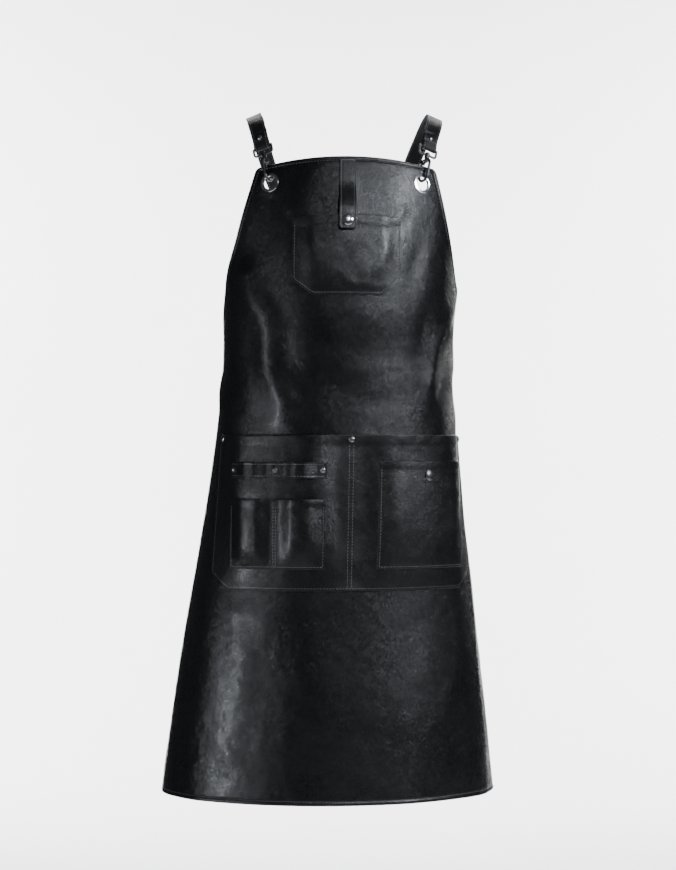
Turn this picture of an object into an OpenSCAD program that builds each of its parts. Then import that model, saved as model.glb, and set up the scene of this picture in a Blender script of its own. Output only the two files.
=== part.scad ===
// Bib apron in coated leather, in its worn shape, with crossed shoulder straps.
// Millimetres. X to the wearer's left, -Y to the front, +Z up. The origin lies midway
// between the two places where the straps cross the tops of the shoulders.

/* [Apron] */
// Length from the middle of the bib's top edge to the hem
apron_length = 813; // [780:1:860]
// Thickness of the main panel
panel_t = 1.6; // [1.2:0.1:2]
// Thickness of pockets, band, tabs and straps
pocket_t = 1.4; // [1:0.1:1.6]
// Half of the bib's top edge, measured along the leather
bib_half = 121; // [115:1:125]
// Half of the skirt, measured along the leather
skirt_half = 300; // [290:2:310]
// Rise of the bib's top edge in the middle
top_crown = 12; // [6:1:16]

/* [Pockets] */
// Depth of the chest pocket
chest_pocket_h = 98; // [90:1:106]
// Half width of the chest pocket
chest_pocket_half = 69; // [60:1:75]
// Half width of the waist pocket panel
waist_pocket_half = 188; // [180:1:190]
// Depth of the waist pocket panel
waist_pocket_h = 195; // [188:1:200]
// How far a loaded pocket's mouth stands open
pocket_gape = 9; // [7:0.5:10]

/* [Straps and hardware] */
// Width of the shoulder straps
strap_w = 21; // [18:1:22]
// Clear radius of the eyelets
eyelet_r = 8.6; // [8:0.1:9]
// Radius of the snap hook's wire
hook_wire_r = 1.8; // [1.5:0.1:2]
// Tilt of the snap hook, outward from upright
hook_tilt = 18; // [12:1:22]

/* [Hidden] */
$fn = 48;
gap = 0.6; // air between two layers of leather, more than the faceting of either
bib_top = 60; // depth of the bib's top edge below the shoulders, in the middle
hem_d = bib_top + apron_length;
corner_d = 345; // depth where the armhole curve ends in the waist corner
side_turn = 40; // degrees at which the flat front turns into the rounder side

// The wearer's form: [depth below the shoulders, half width, depth of the front]
stations = [
    [0, 150, 68],    // shoulder line
    [60, 153, 92],   // collar bones
    [150, 153.5, 110], // chest
    [250, 149.5, 117], // lower ribs
    [335, 148, 114], // waist
    [480, 162.5, 121], // hips
    [680, 191, 137], // thighs
    [900, 218, 155]  // below the hem
];
twist = 11.4; // how far the skirt is turned round the waist, along the leather
sway = 0.0235; // sideways lean of the form, per millimetre of depth

// ---- small helpers ---------------------------------------------------------------------
function unit(v) = v / norm(v);
function smooth(t) = let (c = max(0, min(1, t))) c * c * (3 - 2 * c);
function mix(a, b, t) = a + (b - a) * t;
function span(a, b, n) = [for (i = [0:n]) mix(a, b, i / n)];
function joined(lists) = [for (l = lists) each l];

// ---- the wearer's form -----------------------------------------------------------------
last = len(stations) - 1;
function below(d, i = 0) = i >= last - 1 || d < stations[i + 1][0] ? i : below(d, i + 1);
function slope(i, k) =
    let (a = max(i - 1, 0), b = min(i + 1, last))
    (stations[b][k] - stations[a][k]) / (stations[b][0] - stations[a][0]);
// Smooth value of column k of the stations at depth d
function form(d, k) =
    let (i = below(d), p = stations[i], q = stations[i + 1], w = q[0] - p[0], t = (d - p[0]) / w)
    p[k] * (1 + 2 * t) * (1 - t) * (1 - t) + q[k] * t * t * (3 - 2 * t)
    + w * (slope(i, k) * t * (1 - t) * (1 - t) - slope(i + 1, k) * t * t * (1 - t));

// A level section is a wide front arc that runs into a tighter arc at each side
turn_sin = sin(side_turn);
turn_cos = cos(side_turn);
front_share = (1 - turn_cos) / turn_sin;
function side_r(d) = (form(d, 2) - front_share * form(d, 1)) / (turn_cos - front_share * (1 - turn_sin));
function front_r(d) = (form(d, 1) - (1 - turn_sin) * side_r(d)) / turn_sin;
// Angle of the outward normal at distance s along the leather
function heading(s, d) =
    let (r1 = front_r(d), r2 = side_r(d), s1 = r1 * side_turn * PI / 180)
    abs(s) < s1 ? abs(s) / r1 * 180 / PI : side_turn + (abs(s) - s1) / r2 * 180 / PI;
// Point at distance s from the middle, d below the shoulders and h outside the form
function at(s, d, h = 0) =
    let (
        q = s + twist * smooth((d - 180) / 230),
        a = heading(q, d), r1 = front_r(d), r2 = side_r(d), front = a < side_turn,
        x = front ? r1 * sin(a) : r1 * turn_sin + r2 * (sin(a) - turn_sin),
        y = front ? r1 * (1 - cos(a)) - form(d, 2) : -r2 * cos(a)
    )
    [sign(q) * (x + h * sin(a)) - sway * d, y - h * cos(a), -d];
// Local axes there: along the leather, up the leather and outward
function along(s, d) = unit(at(s + 1, d) - at(s - 1, d));
function outward(s, d) = unit(cross(along(s, d), at(s, d - 1) - at(s, d + 1)));
function upward(s, d) = cross(outward(s, d), along(s, d));

// Places children with their axes x, y and z along the given directions
module placed(o, x, y, z) {
    multmatrix([
        [x[0], y[0], z[0], o[0]],
        [x[1], y[1], z[1], o[1]],
        [x[2], y[2], z[2], o[2]]
    ]) children();
}
// Places children on the leather, with z outward and y up
module on_leather(s, d, h) {
    placed(at(s, d, h), along(s, d), upward(s, d), outward(s, d)) children();
}

// ---- sheets and ribbons ----------------------------------------------------------------
// Two triangles for the quad a, b, c, e
function quad(a, b, c, e) = [[a, b, c], [a, c, e]];
// A closed sheet between two grids of points with the same rows and columns
module sheet(outer, inner) {
    rows = len(outer);
    cols = len(outer[0]);
    n = rows * cols;
    points = concat(joined(outer), joined(inner));
    function id(r, c) = r * cols + c;
    faces = joined([
        for (r = [0:rows - 2], c = [0:cols - 2])
            concat(
                quad(id(r, c), id(r, c + 1), id(r + 1, c + 1), id(r + 1, c)),
                quad(n + id(r, c), n + id(r + 1, c), n + id(r + 1, c + 1), n + id(r, c + 1))
            ),
        for (r = [0:rows - 2])
            concat(
                quad(id(r, 0), id(r + 1, 0), n + id(r + 1, 0), n + id(r, 0)),
                quad(id(r + 1, cols - 1), id(r, cols - 1), n + id(r, cols - 1), n + id(r + 1, cols - 1))
            ),
        for (c = [0:cols - 2])
            concat(
                quad(id(0, c + 1), id(0, c), n + id(0, c), n + id(0, c + 1)),
                quad(id(rows - 1, c), id(rows - 1, c + 1), n + id(rows - 1, c + 1), n + id(rows - 1, c))
            )
    ]);
    polyhedron(points, faces, convexity = 10);
}

// A flat ribbon w wide and t thick along points p, with its width along the directions b
module ribbon(p, b, w, t) {
    n = len(p);
    rings = [
        for (i = [0:n - 1])
            let (
                run = unit(p[min(i + 1, n - 1)] - p[max(i - 1, 0)]),
                side = unit(b[i] - (b[i] * run) * run) * w / 2,
                rise = unit(cross(side, run)) * t / 2
            )
            [p[i] - side - rise, p[i] + side - rise, p[i] + side + rise, p[i] - side + rise]
    ];
    faces = joined([
        [[0, 1, 2], [0, 2, 3]],
        for (i = [0:n - 2], k = [0:3])
            quad(4 * i + k, 4 * i + 4 + k, 4 * i + 4 + (k + 1) % 4, 4 * i + (k + 1) % 4),
        [[4 * n - 4, 4 * n - 2, 4 * n - 3], [4 * n - 4, 4 * n - 1, 4 * n - 2]]
    ]);
    polyhedron(joined(rings), faces, convexity = 10);
}

// ---- panel -----------------------------------------------------------------------------
function panel_half(d) =
    let (t = max(0, min(1, (d - bib_top - top_crown) / (corner_d - bib_top - top_crown))))
    mix(bib_half, skirt_half, 0.55 * t + 0.45 * pow(t, 4));
function top_d(u) = bib_top + top_crown * u * u;
panel_rows = concat(span(0, 1, 12), [for (k = [1:14]) 1 + k / 14]);
panel_cols = span(-1, 1, 56);
// Depth at row v, from 0 at the top over 1 at the waist corner to 2 at the hem
function panel_d(u, v) = v < 1 ? mix(top_d(u), corner_d, v) : mix(corner_d, hem_d, v - 1);
function panel_grid(h) = [
    for (v = panel_rows) [for (u = panel_cols) let (d = panel_d(u, v)) at(u * panel_half(d), d, h)]
];

// ---- pockets ---------------------------------------------------------------------------
// A pocket is [middle, half width, mouth depth, height, cells, chamfer, [pinch s, pinch d,
// amount], [flat margin of a cell, width of its rise]]
chest = [0, chest_pocket_half, 139, chest_pocket_h, 1, [25, 19], [0, 143.5, 0.55], [4, 24]];
waist = [0, waist_pocket_half, 413, waist_pocket_h, 2, [28, 20], [0, 0, 0], [10, 40]];
tools = [-92, 62, 493, 88, 2, [0, 0], [0, 0, 0], [4, 20]];
phone = [99, 66, 446, 135, 1, [0, 0], [97, 464, 0.73], [4, 22]];
band = [-92, 62, 447, 20, 2, [0, 0], [0, 0, 0], [10, 17]];
// Share of the full gape at place u across and v down
function belly(p, u, v, closed = true) =
    let (
        k = (u + 1) / 2 * p[4],
        c = 2 * (k - floor(min(k, p[4] - 0.001))) - 1,
        edge = p[1] / p[4] * (1 - abs(c)),
        n = p[6],
        away = pow((u * p[1] + p[0] - n[0]) / 20, 2) + pow((p[2] + v * p[3] - n[1]) / 32, 2)
    )
    smooth((edge - p[7][0]) / p[7][1]) * (closed ? 1 - pow(v, 4) : 1) * (1 - n[2] * exp(-away * away));
function pocket_half(p, d) =
    p[1] - (p[5][1] > 0 ? p[5][0] * max(0, (d - p[2] - p[3] + p[5][1]) / p[5][1]) : 0);
// Height of a pocket's inner face above the form, where its backing stands at height base
function lift(p, s, d, base, gape, closed = true) =
    base + gap + gape * belly(p, max(-1, min(1, (s - p[0]) / p[1])), max(0, min(1, (d - p[2]) / p[3])), closed);
function chest_lift(s, d) = lift(chest, s, d, panel_t, pocket_gape - 1.5);
function waist_lift(s, d) = lift(waist, s, d, panel_t, pocket_gape);
function tools_lift(s, d) = lift(tools, s, d, waist_lift(s, d) + pocket_t, pocket_gape + 1);
function phone_lift(s, d) = lift(phone, s, d, waist_lift(s, d) + pocket_t, pocket_gape + 1);
function band_lift(s, d) = lift(band, s, d, waist_lift(s, d) + pocket_t, pocket_gape + 1, false);
// Grid of a pocket's face, whose inner side stands at height rise(s, d)
function pocket_grid(p, cols, rows, rise, h) =
    let (cut = p[2] + p[3] - p[5][1])
    [
        for (d = concat(span(p[2], cut, rows), p[5][1] > 0 ? [for (k = [1:3]) cut + k * p[5][1] / 3] : []))
            [for (u = span(-1, 1, cols)) let (s = p[0] + u * pocket_half(p, d)) at(s, d, rise(s, d) + h)]
    ];
module pocket(p, cols, rows, rise) {
    sheet(pocket_grid(p, cols, rows, rise, pocket_t), pocket_grid(p, cols, rows, rise, 0));
}

// ---- rivets and snaps ------------------------------------------------------------------
rivet_post_r = 1.5;
hole_r = rivet_post_r + 0.2;
// A tubular rivet through leather that reaches from height 0 to height grip
module rivet(grip, cap_r = 4.2) {
    rotate_extrude() polygon([
        [0, -0.9], [cap_r - 0.6, -0.9], [cap_r - 0.2, -0.2], [rivet_post_r, -0.2],
        [rivet_post_r, grip + 0.2], [cap_r, grip + 0.2], [cap_r * 0.92, grip + 1], [cap_r * 0.7, grip + 1.7],
        [cap_r * 0.38, grip + 2.15], [0, grip + 2.3]
    ]);
}
module rivet_hole(s, d) {
    on_leather(s, d, 0) translate([0, 0, -20]) cylinder(r = hole_r, h = 80);
}
// Places children on a pocket's face, whose height is rise(s, d), square to its slope
module on_face(s, d, rise) {
    x = unit(at(s + 2, d, rise(s + 2, d)) - at(s - 2, d, rise(s - 2, d)));
    z = unit(cross(x, at(s, d - 2, rise(s, d - 2)) - at(s, d + 2, rise(s, d + 2))));
    placed(at(s, d, rise(s, d)), x, cross(z, x), z) children();
}
rivet_inset = 5.5;
// Rivets along the waist pocket's mouth and along the tool band
waist_rivets = [for (k = [-1:1]) [k * (waist_pocket_half - rivet_inset), waist[2] + rivet_inset]];
band_rivets = [for (k = [-1:1]) [band[0] + k * (band[1] - rivet_inset), band[2] + band[3] / 2]];
module on_band(r) {
    on_face(r[0], r[1], function(s, d) waist_lift(s, d)) children();
}
module band_rivet_hole(r) {
    on_band(r) translate([0, 0, -6]) cylinder(r = hole_r, h = 16);
}
chest_snap = [0, 143.5];
phone_snap = [97, 464];
snap_h = 3.3; // height of a closed snap between its two layers of leather

// The male half: a stud on the outside of the leather, with a ring inside
module snap_stud(grip) {
    rotate_extrude() polygon([
        [0, -grip - 1], [5, -grip - 1], [5, -grip - 0.2], [1.5, -grip - 0.2], [1.5, 0.1], [5, 0.1],
        [5, 0.8], [1.9, 0.8], [1.9, 2.4], [1.5, 2.8], [0, 2.8]
    ]);
}
// The female half: a socket inside the leather, whose cup clears the stud
module snap_socket() {
    rotate_extrude() polygon([[2.1, 1], [5.5, 1], [5.5, 3.1], [0, 3.1], [0, 2.95], [2.1, 2.95]]);
}
// The domed cap outside the leather, with its post down to the socket
module snap_cap(grip) {
    translate([0, 0, snap_h]) rotate_extrude() polygon([
        [0, -0.5], [1.5, -0.5], [1.5, grip + 0.15], [7, grip + 0.15], [7, grip + 0.9], [6.3, grip + 1.7],
        [4.6, grip + 2.4], [2.4, grip + 2.8], [0, grip + 2.9]
    ]);
}

// ---- chest tab -------------------------------------------------------------------------
tab_half = 10.4;
tab_top = bib_top + 3;
tab_end = 154;
tab_low = panel_t + gap;
tab_slack = 0.3; // room between the snap's socket and the tab
function tab_lift(d) =
    mix(tab_low, chest_lift(0, chest_snap[1]) + pocket_t + snap_h + tab_slack, smooth((d - 92) / 38));
function tab_grid(h) = [for (d = span(tab_top, tab_end, 14)) [for (s = [-tab_half, tab_half]) at(s, d, tab_lift(d) + h)]];
// Places children on the pocket under the tab, square to the tab's flat end
module at_chest_snap() {
    d = chest_snap[1];
    y = unit(at(0, d - 8) - at(0, d + 8));
    z = unit(cross([1, 0, 0], y));
    placed(at(0, d, chest_lift(0, d) + pocket_t), cross(y, z), y, z) children();
}
module at_phone_snap() {
    on_leather(phone_snap[0], phone_snap[1], waist_lift(phone_snap[0], phone_snap[1]) + pocket_t) children();
}

// ---- eyelets and snap hooks ------------------------------------------------------------
eyelet = [bib_half - 20, bib_top + 33];
flange_r = 12.5;
flange_t = 0.8;
hook_r = 7.8; // centreline radius of the hook's bend
hook_straight = 15;
neck_u = hook_straight + hook_r;
boss_u = neck_u + 5.7; // middle of the swivel boss
boss_h = 3.5;
bar_u = boss_u + 9.5; // the loop's upper bar, which the strap folds round
loop_half = strap_w / 2 + 2.3;
loop_wire_r = 1.5;
// Hook frame at side g (1 or -1): pull up the strap, normal out of the leather, width across
function pull(g) =
    cos(hook_tilt) * upward(g * eyelet[0], eyelet[1]) + sin(hook_tilt) * g * along(g * eyelet[0], eyelet[1]);
function face(g) = outward(g * eyelet[0], eyelet[1]);
function across(g) = cross(face(g), pull(g));
function hook_o(g) =
    at(g * eyelet[0], eyelet[1], panel_t / 2) + (eyelet_r + 3.6) * pull(g) - face(g);
module hook_frame(g) {
    placed(hook_o(g), across(g), face(g), pull(g)) children();
}
hook_yaw = 7; // the hook's turn on its swivel, its front arm outward
module turned(g) {
    hook_frame(g) rotate([0, 0, g * hook_yaw]) children();
}

module grommet(g) {
    on_leather(g * eyelet[0], eyelet[1], 0) rotate_extrude() polygon([
        [eyelet_r, -flange_t - 0.1], [eyelet_r + 0.6, -flange_t - 0.1], [eyelet_r + 0.6, panel_t + 0.1],
        [flange_r, panel_t + 0.1], [flange_r - 0.5, panel_t + flange_t * 0.8],
        [flange_r - 2.5, panel_t + flange_t + 0.1], [eyelet_r + 0.6, panel_t + flange_t],
        [eyelet_r, panel_t + flange_t - 0.6]
    ]);
}
module grommet_washer(g) {
    on_leather(g * eyelet[0], eyelet[1], 0) rotate_extrude() polygon([
        [eyelet_r + 0.75, -flange_t], [flange_r - 1, -flange_t], [flange_r - 0.5, -0.5],
        [flange_r - 0.5, -0.1], [eyelet_r + 0.75, -0.1]
    ]);
}

tip_u = 1.5; // where the hook's open end stops
gate_y = -6.4;
gate_u = hook_straight + 3.6;
gate_pin_r = 0.9;
// Bent wire in the plane x = 0: a quarter or half turn about [0, y, z]
module bend(r, wire, from, sweep) {
    rotate([90, 0, 90]) rotate([0, 0, from]) rotate_extrude(angle = sweep) translate([r, 0]) circle(wire);
}
module hook_body() {
    bend(hook_r, hook_wire_r, -180, 180);
    translate([0, hook_r, 0]) cylinder(r = hook_wire_r, h = hook_straight);
    translate([0, 0, hook_straight]) bend(hook_r, hook_wire_r, 0, 90);
    translate([0, -hook_r, 0]) {
        cylinder(r = hook_wire_r, h = tip_u);
        translate([0, 0, tip_u]) sphere(hook_wire_r);
    }
    // neck, collar, swivel post and its peened head
    translate([0, 0, neck_u - 2.6]) cylinder(r = 2.6, h = 4.6);
    translate([0, 0, boss_u - boss_h / 2 - 1.9]) cylinder(r = 3.4, h = 1.6);
    translate([0, 0, neck_u]) cylinder(r = 2, h = boss_u + boss_h / 2 + 0.6 - neck_u);
    translate([0, 0, boss_u + boss_h / 2 + 0.3]) cylinder(r1 = 3.2, r2 = 2.4, h = 1.4);
    // ears that carry the gate's pin
    difference() {
        for (x = [-3, 1.4]) {
            translate([x, gate_y, gate_u]) rotate([0, 90, 0]) cylinder(r = 2.3, h = 1.6);
            translate([x, gate_y, gate_u + 0.6]) cube([1.6, -gate_y, 2.4]);
        }
        translate([-4, gate_y, gate_u]) rotate([0, 90, 0]) cylinder(r = gate_pin_r, h = 8);
    }
}
module gate_pin() {
    translate([-3.4, gate_y, gate_u]) rotate([0, 90, 0]) cylinder(r = gate_pin_r + 0.02, h = 6.8);
}
module gate_blade() {
    end_u = tip_u + hook_wire_r + 0.3;
    difference() {
        union() {
            translate([-1.2, gate_y, gate_u]) rotate([0, 90, 0]) cylinder(r = 1.9, h = 2.4);
            translate([-1.2, -hook_r - 1.2, end_u]) cube([2.4, 2.4, gate_u - end_u]);
            // thumb tab
            translate([-1.2, -hook_r - 3.6, gate_u - 9]) cube([2.4, 3, 3.2]);
        }
        translate([-2, gate_y, gate_u]) rotate([0, 90, 0]) cylinder(r = gate_pin_r + 0.08, h = 4);
    }
}
module strap_loop() {
    corner_r = 3;
    low = boss_u;
    difference() {
        union() {
            translate([-loop_half + corner_r, 0, low]) rotate([0, 90, 0])
                cylinder(r = loop_wire_r, h = 2 * (loop_half - corner_r));
            translate([-loop_half, 0, bar_u]) rotate([0, 90, 0]) cylinder(r = loop_wire_r, h = 2 * loop_half);
            for (k = [-1, 1]) {
                translate([k * loop_half, 0, low + corner_r]) cylinder(r = loop_wire_r, h = bar_u - low - corner_r);
                translate([k * loop_half, 0, bar_u]) sphere(loop_wire_r);
                translate([k * (loop_half - corner_r), 0, low + corner_r]) rotate([90, 0, 0])
                    rotate([0, 0, k > 0 ? -90 : 180]) rotate_extrude(angle = 90)
                        translate([corner_r, 0]) circle(loop_wire_r);
            }
            translate([0, 0, low - boss_h / 2]) cylinder(r = 3.6, h = boss_h);
        }
        translate([0, 0, low - boss_h / 2 - 1]) cylinder(r = 2.08, h = boss_h + 2);
    }
}

// ---- shoulder straps -------------------------------------------------------------------
strap_t = pocket_t;
fold_r = loop_wire_r + 0.4 + strap_t / 2; // centreline of leather folded round a bar
// Half turn round a bar at o: from +n over -run to -n
function u_turn(o, run, n, r) = [for (a = [0:20:180]) o + r * (cos(a) * n - sin(a) * run)];

// Waist corner: a tab folded round a ring, with the strap's end folded through the same ring
ring_half_h = 5.6;
ring_place = [skirt_half + 13, corner_d - 18];
cross_point = [17, 119, 226]; // where a strap leaves the crossing for the far waist corner
ply = 1.1; // half the spacing of a strap's two layers
function ring_o(g) = at(g * ring_place[0], ring_place[1], panel_t / 2);
function under(g) = g > 0 ? 3.4 : 0; // one strap passes outside the other
function leave(g) = [g * cross_point[0], cross_point[1] + under(-g), -cross_point[2]];
// Frame at the waist ring on side g: up the strap, flat normal and width
function rise(g) = unit(leave(g) - ring_o(g));
function flat(g) =
    let (n = outward(g * ring_place[0], ring_place[1])) unit(n - (n * rise(g)) * rise(g));
function wide(g) = cross(flat(g), rise(g));
module ring_frame(g) {
    placed(ring_o(g), wide(g), flat(g), rise(g)) children();
}
// Pattern place k millimetres down the tab from the middle of the ring
function tab_sd(g, k) =
    let (s = g * ring_place[0], d = ring_place[1])
    [s - k * (along(s, d) * rise(g)), d + k * (upward(s, d) * rise(g))];
tab_rivet_k = 44;
tab_air = 1; // air between the panel and the tab's outer layer
tab_under = 3.2; // depth of the tab's inner layer, under the turned hem
tab_length = 56;
module waist_tab(g) {
    bar = ring_o(g) - ring_half_h * rise(g);
    ks = [tab_length, 50, 44, 38, 32, 26, 20, 14];
    upper = [for (k = ks) let (p = tab_sd(g, k)) at(p[0], p[1], panel_t + tab_air + pocket_t / 2)];
    lower = [for (i = [len(ks) - 1:-1:0]) let (p = tab_sd(g, ks[i])) at(p[0], p[1], -tab_under - pocket_t / 2)];
    points = concat(upper, u_turn(bar, -rise(g), flat(g), fold_r), lower);
    n = len(ks);
    widths = [
        for (i = [0:len(points) - 1])
            let (j = i < n ? i : i < n + 10 ? n - 1 : 2 * n + 9 - i, p = tab_sd(g, ks[max(0, j)]))
            i >= n - 1 && i <= n + 10 ? wide(g) : cross(outward(p[0], p[1]), tab_run(g, p))
    ];
    difference() {
        ribbon(points, widths, strap_w, pocket_t);
        rivet_hole(tab_sd(g, tab_rivet_k)[0], tab_sd(g, tab_rivet_k)[1]);
    }
}
function tab_run(g, p) =
    let (s = g * ring_place[0], d = ring_place[1])
    (along(s, d) * rise(g)) * along(p[0], p[1]) + (upward(s, d) * rise(g)) * upward(p[0], p[1]);
module waist_ring(g) {
    ring_frame(g) {
        for (k = [-1, 1]) {
            translate([-loop_half, 0, k * ring_half_h]) rotate([0, 90, 0]) cylinder(r = loop_wire_r, h = 2 * loop_half);
            translate([k * loop_half, 0, -ring_half_h]) cylinder(r = loop_wire_r, h = 2 * ring_half_h);
            for (m = [-1, 1]) translate([k * loop_half, 0, m * ring_half_h]) sphere(loop_wire_r);
        }
    }
}

// The strap that starts at the hook on side g and ends at the waist ring on side -g
function strap_start(g) = hook_o(g) + bar_u * pull(g);
function over_shoulder(g) = [
    for (p = [
        [115, -36, -12], [118, -15, -1.5], [117, 2, 0.7], [113, 27, -7], [102, 60, -36],
        [83, 90, -84], [52, 111, -140], [17, 119, -182]
    ])
        [g * p[0], p[1] + under(g) * smooth((-100 - p[2]) / 60), p[2]]
];
function catmull(a, b, c, e, t) =
    0.5 * (2 * b + (c - a) * t + (2 * a - 5 * b + 4 * c - e) * t * t + (3 * b - a - 3 * c + e) * t * t * t);
function curve(p, n) = [
    for (i = [0:len(p) - 2], k = [0:n - 1])
        catmull(p[max(i - 1, 0)], p[i], p[i + 1], p[min(i + 2, len(p) - 1)], k / n),
    p[len(p) - 1]
];
// Outward direction of the shoulders and back at a point
function back_normal(p) = unit(p - [0.6 * p[0], 0, min(p[2], -110)]);
fold_leg = 24; // length of the folded end above the hook's loop
tail = 74; // length of the strap's tail above the waist ring
strap_rivet_u = 13; // the fold's rivet, above the loop's bar
keeper_u = 46; // the keeper's place above the waist ring
module shoulder_strap(g) {
    start = strap_start(g);
    u0 = pull(g);
    n0 = face(g);
    n1 = flat(-g);
    run = rise(-g);
    end = ring_o(-g) + ring_half_h * run;
    far = leave(-g);
    reach = norm(far - end);
    close = fold_r - ply;
    folded = [for (k = [3:-1:1]) start + fold_leg * k / 3 * u0 - (fold_r - close * smooth(k / 2)) * n0];
    rising = [for (k = [1:2]) start + 8 * k * u0 + (fold_r - close * smooth(k / 2)) * n0];
    main = curve(concat(rising, over_shoulder(g), [far]), 4);
    steps = [[reach - 14, 0.2], [reach - 28, 0.6], [reach - 42, 0.95], [55, 1], [36, 1], [16, 1], [7, 1]];
    lower = [for (q = steps) end + q[0] * run + (q[0] > 10 ? ply * q[1] : (ply + fold_r) / 2) * n1
        + (q[0] > 60 ? (1 - q[1]) * 0.4 * n1 : 0 * n1)];
    tail_run = [for (k = [7, 16, 36, 55, tail]) end + k * run - (k > 10 ? ply : (ply + fold_r) / 2) * n1];
    points = concat(folded, u_turn(start, u0, -n0, fold_r), main, lower, u_turn(end, run, n1, fold_r), tail_run);
    a = len(folded) + 10;
    b = a + len(main);
    widths = [
        for (i = [0:len(points) - 1])
            let (back = i > 0 && i < len(points) - 1
                ? unit(cross(back_normal(points[i]), points[i + 1] - points[i - 1])) : across(g))
            i < a + 2 ? across(g)
            : i < a + 8 ? unit(mix(across(g), back, smooth((i - a - 1) / 7)))
            : i < b ? back
            : i < b + len(lower) ? unit(mix(back, -wide(-g), steps[i - b][1])) : -wide(-g)
    ];
    difference() {
        ribbon(points, widths, strap_w, strap_t);
        placed(start + strap_rivet_u * u0, -across(g), u0, n0) translate([0, 0, -10]) cylinder(r = hole_r, h = 20);
        translate([0, 130, -cross_rivet_d]) rotate([90, 0, 0]) cylinder(r = hole_r, h = 30);
    }
}
cross_rivet_d = 204;
// Rivet through the fold just above the hook's loop
module strap_rivet(g) {
    grip = 2 * ply + strap_t;
    placed(strap_start(g) + strap_rivet_u * pull(g) - grip / 2 * face(g), -across(g), pull(g), face(g))
        rivet(grip, 3.6);
}
// Flat metal keeper round the strap and its tail
module keeper(g) {
    t = 1.3;
    x = strap_w / 2 + 0.6;
    y = ply + strap_t / 2 + 0.4;
    placed(ring_o(-g) + (ring_half_h + keeper_u) * rise(-g), wide(-g), flat(-g), rise(-g))
        translate([0, 0, -4]) difference() {
            linear_extrude(8) polygon([
                for (q = [[1, 1], [-1, 1], [-1, -1], [1, -1]])
                    each q[0] * q[1] > 0
                        ? [[q[0] * (x + t), q[1] * (y + t - 1)], [q[0] * (x + t - 1), q[1] * (y + t)]]
                        : [[q[0] * (x + t - 1), q[1] * (y + t)], [q[0] * (x + t), q[1] * (y + t - 1)]]
            ]);
            translate([-x, -y, -1]) cube([2 * x, 2 * y, 10]);
        }
}
// Leather diamond and rivet where the straps cross
module cross_patch() {
    y = cross_y + gap;
    translate([0, y + pocket_t, -cross_rivet_d]) rotate([90, 0, 0]) difference() {
        linear_extrude(pocket_t) polygon([[0, -27], [22, 0], [0, 27], [-22, 0]]);
        translate([0, 0, -1]) cylinder(r = hole_r, h = 4);
    }
}
cross_y = 119 + 3.4 + strap_t / 2 + 0.4;
module cross_rivet() {
    inner = 119 - strap_t / 2 - 0.3;
    translate([0, inner, -cross_rivet_d]) rotate([-90, 0, 0]) rivet(cross_y + gap + pocket_t - inner);
}

// ---- turned hems -----------------------------------------------------------------------
// The leather's edges are turned to the inside and stitched down
hem_w = 9;
hem_t = 1;
hem_h = -0.55; // height of the hem's outer face, just inside the panel
module side_hem(g) {
    rows = [for (v = panel_rows) if (v > 0.02) v];
    function grid(h) = [
        for (v = rows)
            [for (e = [0, 1]) let (d = panel_d(1, v), s = g * (panel_half(d) - 0.5 - (g > 0 ? 1 - e : e) * hem_w)) at(s, d, h)]
    ];
    sheet(grid(hem_h), grid(hem_h - hem_t));
}
module bib_hem() {
    us = span(-0.9, 0.9, 18);
    function grid(h) = [
        for (e = [0.5, hem_w]) [for (u = us) let (d = top_d(u) + e) at(u * panel_half(d), d, h)]
    ];
    sheet(grid(hem_h), grid(hem_h - hem_t));
}
module bottom_hem() {
    us = span(-0.95, 0.95, 48);
    function grid(h) = [for (e = [hem_w + 3, 0.5]) [for (u = us) at(u * skirt_half, hem_d - e, h)]];
    sheet(grid(hem_h), grid(hem_h - hem_t));
}

// ---- parts -----------------------------------------------------------------------------
black = [0.07, 0.07, 0.08];
lining = [0.16, 0.16, 0.17];
nickel = [0.78, 0.79, 0.8];
gunmetal = [0.3, 0.31, 0.33];

module apron_panel() {
    color(black) difference() {
        sheet(panel_grid(panel_t), panel_grid(0));
        for (g = [-1, 1]) {
            on_leather(g * eyelet[0], eyelet[1], -5) cylinder(r = eyelet_r + 0.7, h = 10);
            rivet_hole(tab_sd(g, tab_rivet_k)[0], tab_sd(g, tab_rivet_k)[1]);
        }
        for (r = waist_rivets) rivet_hole(r[0], r[1]);
    }
}
module bib_edge_hem() { color(black) bib_hem(); }
module left_edge_hem() { color(black) side_hem(-1); }
module right_edge_hem() { color(black) side_hem(1); }
module lower_edge_hem() { color(black) bottom_hem(); }
module chest_pocket() {
    color(black) difference() {
        pocket(chest, 20, 10, function(s, d) chest_lift(s, d));
        at_chest_snap() translate([0, 0, -10]) cylinder(r = hole_r, h = 30);
    }
}
module chest_tab() {
    color(black) difference() {
        sheet(tab_grid(pocket_t), tab_grid(0));
        at_chest_snap() translate([0, 0, -10]) cylinder(r = hole_r, h = 30);
    }
}
module chest_snap_stud() { color(nickel) at_chest_snap() snap_stud(pocket_t); }
module chest_snap_socket() { color(nickel) at_chest_snap() snap_socket(); }
module chest_snap_cap() { color(nickel) at_chest_snap() translate([0, 0, tab_slack]) snap_cap(pocket_t); }
module waist_pocket() {
    color(black) difference() {
        pocket(waist, 48, 10, function(s, d) waist_lift(s, d));
        for (r = waist_rivets) rivet_hole(r[0], r[1]);
        for (r = band_rivets) band_rivet_hole(r);
        at_phone_snap() translate([0, 0, -10]) cylinder(r = hole_r, h = 30);
    }
}
module tool_pockets() { color(black) pocket(tools, 24, 8, function(s, d) tools_lift(s, d)); }
module phone_pocket() {
    color(black) difference() {
        pocket(phone, 20, 10, function(s, d) phone_lift(s, d));
        at_phone_snap() translate([0, 0, -10]) cylinder(r = hole_r, h = 30);
    }
}
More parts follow.
